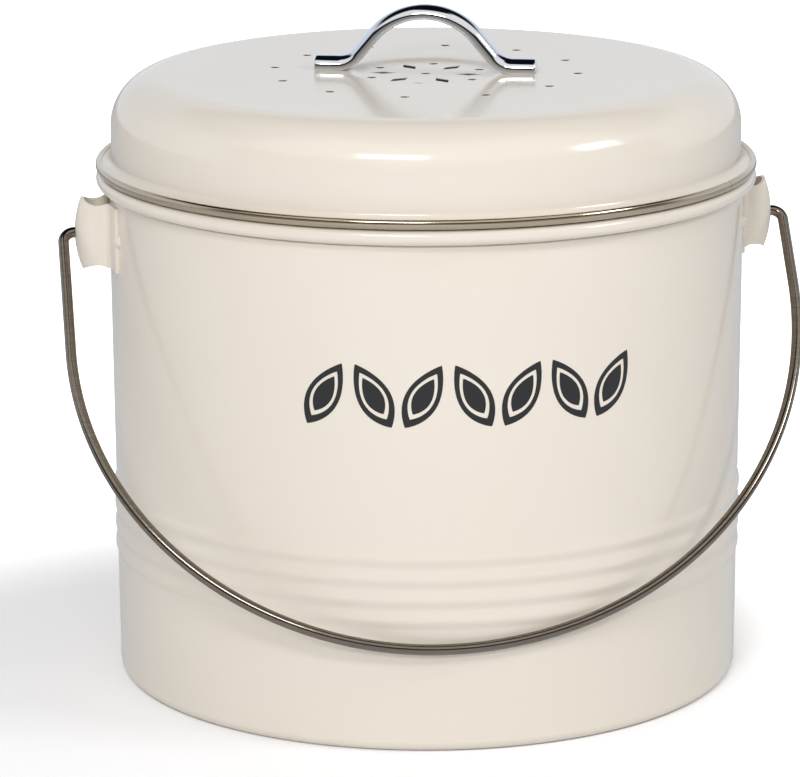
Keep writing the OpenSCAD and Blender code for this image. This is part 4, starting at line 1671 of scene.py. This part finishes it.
@dataclass(frozen=True)
class Softbox:
    """A rectangular lamp that faces the middle of the caddy.

    Its direction is in degrees, its distance and its size (width and height) are in metres, and its
    power is in watts. One that isn't mirrored lights the caddy and doesn't show in its gloss.
    """

    name: str
    azimuth: float
    elevation: float
    distance: float
    size: Point
    power: float
    mirrored: bool = True
    aim_z: float = 0.1

    def hang(self) -> None:
        """Puts the lamp in the scene."""
        data = bpy.data.lights.new(self.name, "AREA")
        data.shape = "RECTANGLE"
        data.size, data.size_y = self.size
        data.energy = self.power
        lamp = bpy.data.objects.new(self.name, data)
        back = bearing(self.azimuth, self.elevation)
        lamp.location = Vector((0, 0, self.aim_z)) + back * self.distance
        lamp.rotation_euler = back.to_track_quat("Z", "Y").to_euler()
        lamp.visible_camera = False
        lamp.visible_glossy = self.mirrored
        bpy.context.scene.collection.objects.link(lamp)


@dataclass
class Studio:
    """A pale floor, soft light and the camera.

    front_room and back_room say what glossy pieces mirror on each side: pairs of an angle above the
    horizon, in degrees, and a colour.
    """

    distance: float = 1388.3
    azimuth: float = -7.7
    elevation: float = 13.916
    roll: float = -0.242
    aim_across: float = -8.495
    aim_up: float = 89.18
    focal_px: float = 4339.3
    frame_px: float = 800
    sensor: float = 36
    floor_half: float = 6
    floor_colour: str = "#f2f2f2"
    floor_mirrored: str = "#e9eff9"
    floor_gain: float = 1.13
    shadow_middle: tuple[float, float, float] = (-0.05, -0.02, 0)
    shadow_fades: Point = (0.12, 0.27)
    horizon: Point = (-0.12, 0.08)
    room_light: float = 0.43
    ceiling_light: float = 0.5
    front_room: tuple[tuple[float, str], ...] = (
        (0, "#a8a299"), (14, "#8c877f"), (19, "#1c1c1e"), (27, "#1c1c1e"), (33, "#f8f8f8"), (68, "#ffffff"),
        (74, "#0a0b0e"))
    back_room: tuple[tuple[float, str], ...] = (
        (0, "#f4f8ff"), (32, "#dfe8f6"), (42, "#0e1220"), (90, "#0a0b0e"))
    softboxes: tuple[Softbox, ...] = (
        Softbox("key_softbox", -21, 40, 1.6, (0.58, 0.2), 5.4),
        Softbox("side_softbox", 62, 36, 1.6, (0.4, 0.25), 4.4),
        Softbox("front_softbox", -17, 24, 1.8, (0.6, 0.28), 8.3, mirrored=False),
    )

    def camera(self) -> None:
        """Sets the camera up where the photograph was taken from."""
        a, r = math.radians(self.azimuth), math.radians(self.roll)
        side = Vector((math.cos(a), math.sin(a), 0))
        back = bearing(self.azimuth, self.elevation)
        up = back.cross(side)
        right = side * math.cos(r) + up * math.sin(r)
        top = up * math.cos(r) - side * math.sin(r)
        aim = side * self.aim_across + Vector((0, 0, self.aim_up))
        spot = (aim + back * self.distance) * MM
        data = bpy.data.cameras.new("camera")
        data.sensor_width = self.sensor
        data.lens = self.focal_px / self.frame_px * self.sensor
        data.clip_start, data.clip_end = 0.05, 50
        camera = bpy.data.objects.new("camera", data)
        turn = Matrix((right, top, back)).transposed().to_4x4()
        camera.matrix_world = Matrix.Translation(spot) @ turn
        bpy.context.scene.collection.objects.link(camera)
        bpy.context.scene.camera = camera

    def floor(self) -> None:
        """Lays the pale floor.

        The camera sees it as white, with the caddy's shadow kept in the middle.
        """
        mesh, half = bpy.data.meshes.new("floor"), self.floor_half
        corners = [(-half, -half, 0), (half, -half, 0), (half, half, 0), (-half, half, 0)]
        mesh.from_pydata(corners, [], [(0, 1, 2, 3)])
        floor = bpy.data.objects.new("floor", mesh)
        bpy.context.scene.collection.objects.link(floor)
        material = bpy.data.materials.new("white_sweep")
        material.use_nodes = True
        tree = material.node_tree
        tree.nodes.clear()
        path = add_node(tree, "ShaderNodeLightPath")
        seen = path["Is Camera Ray"]
        place = add_node(tree, "ShaderNodeTexCoord")["Object"]
        place = add_node(tree, "ShaderNodeVectorMath", place, self.shadow_middle, operation="SUBTRACT")[0]
        away = add_node(tree, "ShaderNodeVectorMath", place, operation="LENGTH")["Value"]
        faded = add_node(tree, "ShaderNodeMapRange", away, interpolation_type="SMOOTHSTEP", named={
            "From Min": self.shadow_fades[0], "From Max": self.shadow_fades[1]})[0]
        lift = add_node(tree, "ShaderNodeMath", seen, faded, operation="MULTIPLY")[0]
        tint = add_node(tree, "ShaderNodeMix", data_type="RGBA", named={
            0: path["Is Glossy Ray"], 6: linear(self.floor_colour), 7: linear(self.floor_mirrored)})[2]
        tint = add_node(tree, "ShaderNodeMix", data_type="RGBA", named={
            0: seen, 6: tint, 7: (self.floor_gain, self.floor_gain, self.floor_gain * 1.02, 1)})[2]
        paint = add_node(tree, "ShaderNodeBsdfDiffuse", tint)[0]
        glow = add_node(tree, "ShaderNodeEmission", (1, 1, 1, 1), lift)[0]
        both = add_node(tree, "ShaderNodeAddShader", paint, glow)[0]
        add_node(tree, "ShaderNodeOutputMaterial", both)
        mesh.materials.append(material)

    def world(self) -> None:
        """Surrounds the caddy with a white backdrop under a darker ceiling."""
        world = bpy.data.worlds.new("studio")
        bpy.context.scene.world = world
        world.use_nodes = True
        tree = world.node_tree
        tree.nodes.clear()
        path = add_node(tree, "ShaderNodeLightPath")
        seen = add_node(tree, "ShaderNodeMath", path["Is Camera Ray"], path["Is Transmission Ray"],
                        operation="MAXIMUM")[0]
        direction = add_node(tree, "ShaderNodeTexCoord")["Generated"]
        way = add_node(tree, "ShaderNodeSeparateXYZ", direction)
        level = add_node(tree, "ShaderNodeMath", way["Y"], way["Y"], operation="MULTIPLY")[0]
        level = add_node(tree, "ShaderNodeMath", way["X"], way["X"], level, operation="MULTIPLY_ADD")[0]
        level = add_node(tree, "ShaderNodeMath", level, operation="SQRT")[0]
        height = add_node(tree, "ShaderNodeMath", way["Z"], level, operation="ARCTAN2")[0]
        height = add_node(tree, "ShaderNodeMath", height, math.pi / 2, operation="DIVIDE")[0]
        front = self.ramp(tree, height, self.front_room)
        back = self.ramp(tree, height, self.back_room)
        behind = add_node(tree, "ShaderNodeMapRange", way["Y"], named={
            "From Min": self.horizon[0], "From Max": self.horizon[1]})[0]
        shown = add_node(tree, "ShaderNodeMix", data_type="RGBA", named={0: behind, 6: front, 7: back})[2]
        mirrored = add_node(tree, "ShaderNodeBackground", shown, 1.0)[0]
        lit = add_node(tree, "ShaderNodeMapRange", height, named={
            "To Min": self.room_light, "To Max": self.ceiling_light})[0]
        room = add_node(tree, "ShaderNodeBackground", (1, 1, 1, 1), lit)[0]
        white = add_node(tree, "ShaderNodeBackground", (1, 1, 1, 1), 1.0)[0]
        mixed = add_node(tree, "ShaderNodeMixShader", path["Is Glossy Ray"], room, mirrored)[0]
        mixed = add_node(tree, "ShaderNodeMixShader", seen, mixed, white)[0]
        add_node(tree, "ShaderNodeOutputWorld", mixed)

    def ramp(self, tree: bpy.types.NodeTree, height: bpy.types.NodeSocket,
             stops: Sequence[tuple[float, str]]) -> bpy.types.NodeSocket:
        """What is seen from the horizon up.

        Args:
            tree: the world's tree.
            height: from 0 at the horizon to 1 overhead.
            stops: pairs of an angle above the horizon, in degrees, and a colour.

        Returns:
            The colour's socket.
        """
        colours = add_node(tree, "ShaderNodeValToRGB", height)
        elements = colours["Color"].node.color_ramp.elements
        while len(elements) < len(stops):
            elements.new(0.5)
        for element, (angle, colour) in zip(elements, stops):
            element.position = angle / 90
            element.color = linear(colour)
        return colours["Color"]

    def build(self) -> None:
        """Sets the studio up."""
        bpy.context.scene.view_settings.view_transform = "Standard"
        self.camera()
        self.floor()
        self.world()
        for softbox in self.softboxes:
            softbox.hang()


# ---------------------------------------------------------------- the whole


def main() -> None:
    """Builds the caddy, piece by piece, and the studio round it."""
    logging.basicConfig(level=logging.INFO, format="%(name)s: %(message)s")
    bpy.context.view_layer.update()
    shop = Workshop()
    body_coat = PowderCoat("body_powder_coat").material()
    lid_coat = PowderCoat("lid_powder_coat").material()
    # Bright nickel over drawn wire, gone brown-grey: dark, with a thin bright line along each bend.
    nickel = PolishedMetal("nickel_plated_wire", "#978d81", "#655c52", 0.1).material()
    # Rolled strip, polished in place: it mirrors the cream coats on both sides, and its warm colour is a
    # painted reflection of them.
    rim_steel = PolishedMetal("polished_steel", "#cdbfaa", "#a8977c", 0.12).material()
    # Chrome on a buffed bar: the clearest mirror here, blue-white and black, with no lines to see.
    chrome = PolishedMetal("bright_chrome", "#e4e6ea", "#d8dade", 0.05, line_depth_mm=0.0003).material()
    # Barrel-plated zinc: a grey, cloudy metal shine.
    screw_steel = PolishedMetal("zinc_plated_steel", "#b9bbbd", "#9a9c9e", 0.3).material()
    # Mill-finish strip: a broad soft shine along the rolling lines.
    collar_steel = PolishedMetal("bright_annealed_steel", "#c2c0bc", "#a5a39f", 0.25).material()
    # Masterbatch grey: near black in shade, slate where light falls.
    bucket_plastic = MouldedPlastic("grey_polypropylene", "#37383b", "#3d3e41").material()
    # Carbon black: stays black in the light.
    filter_plastic = MouldedPlastic("black_polypropylene", "#1d1d1f", "#232325").material()
    CaddyBody(shop, body_coat, PrintedInk().material()).build()
    CarryWire(shop, nickel).build()
    InnerBucket(shop, bucket_plastic).build()
    Lid(shop, LidFinishes(lid_coat, rim_steel, chrome, screw_steel, collar_steel)).build()
    OdourFilter(shop, filter_plastic, CarbonFelt().material()).build()
    Studio().build()


if __name__ == "__main__":
    main()
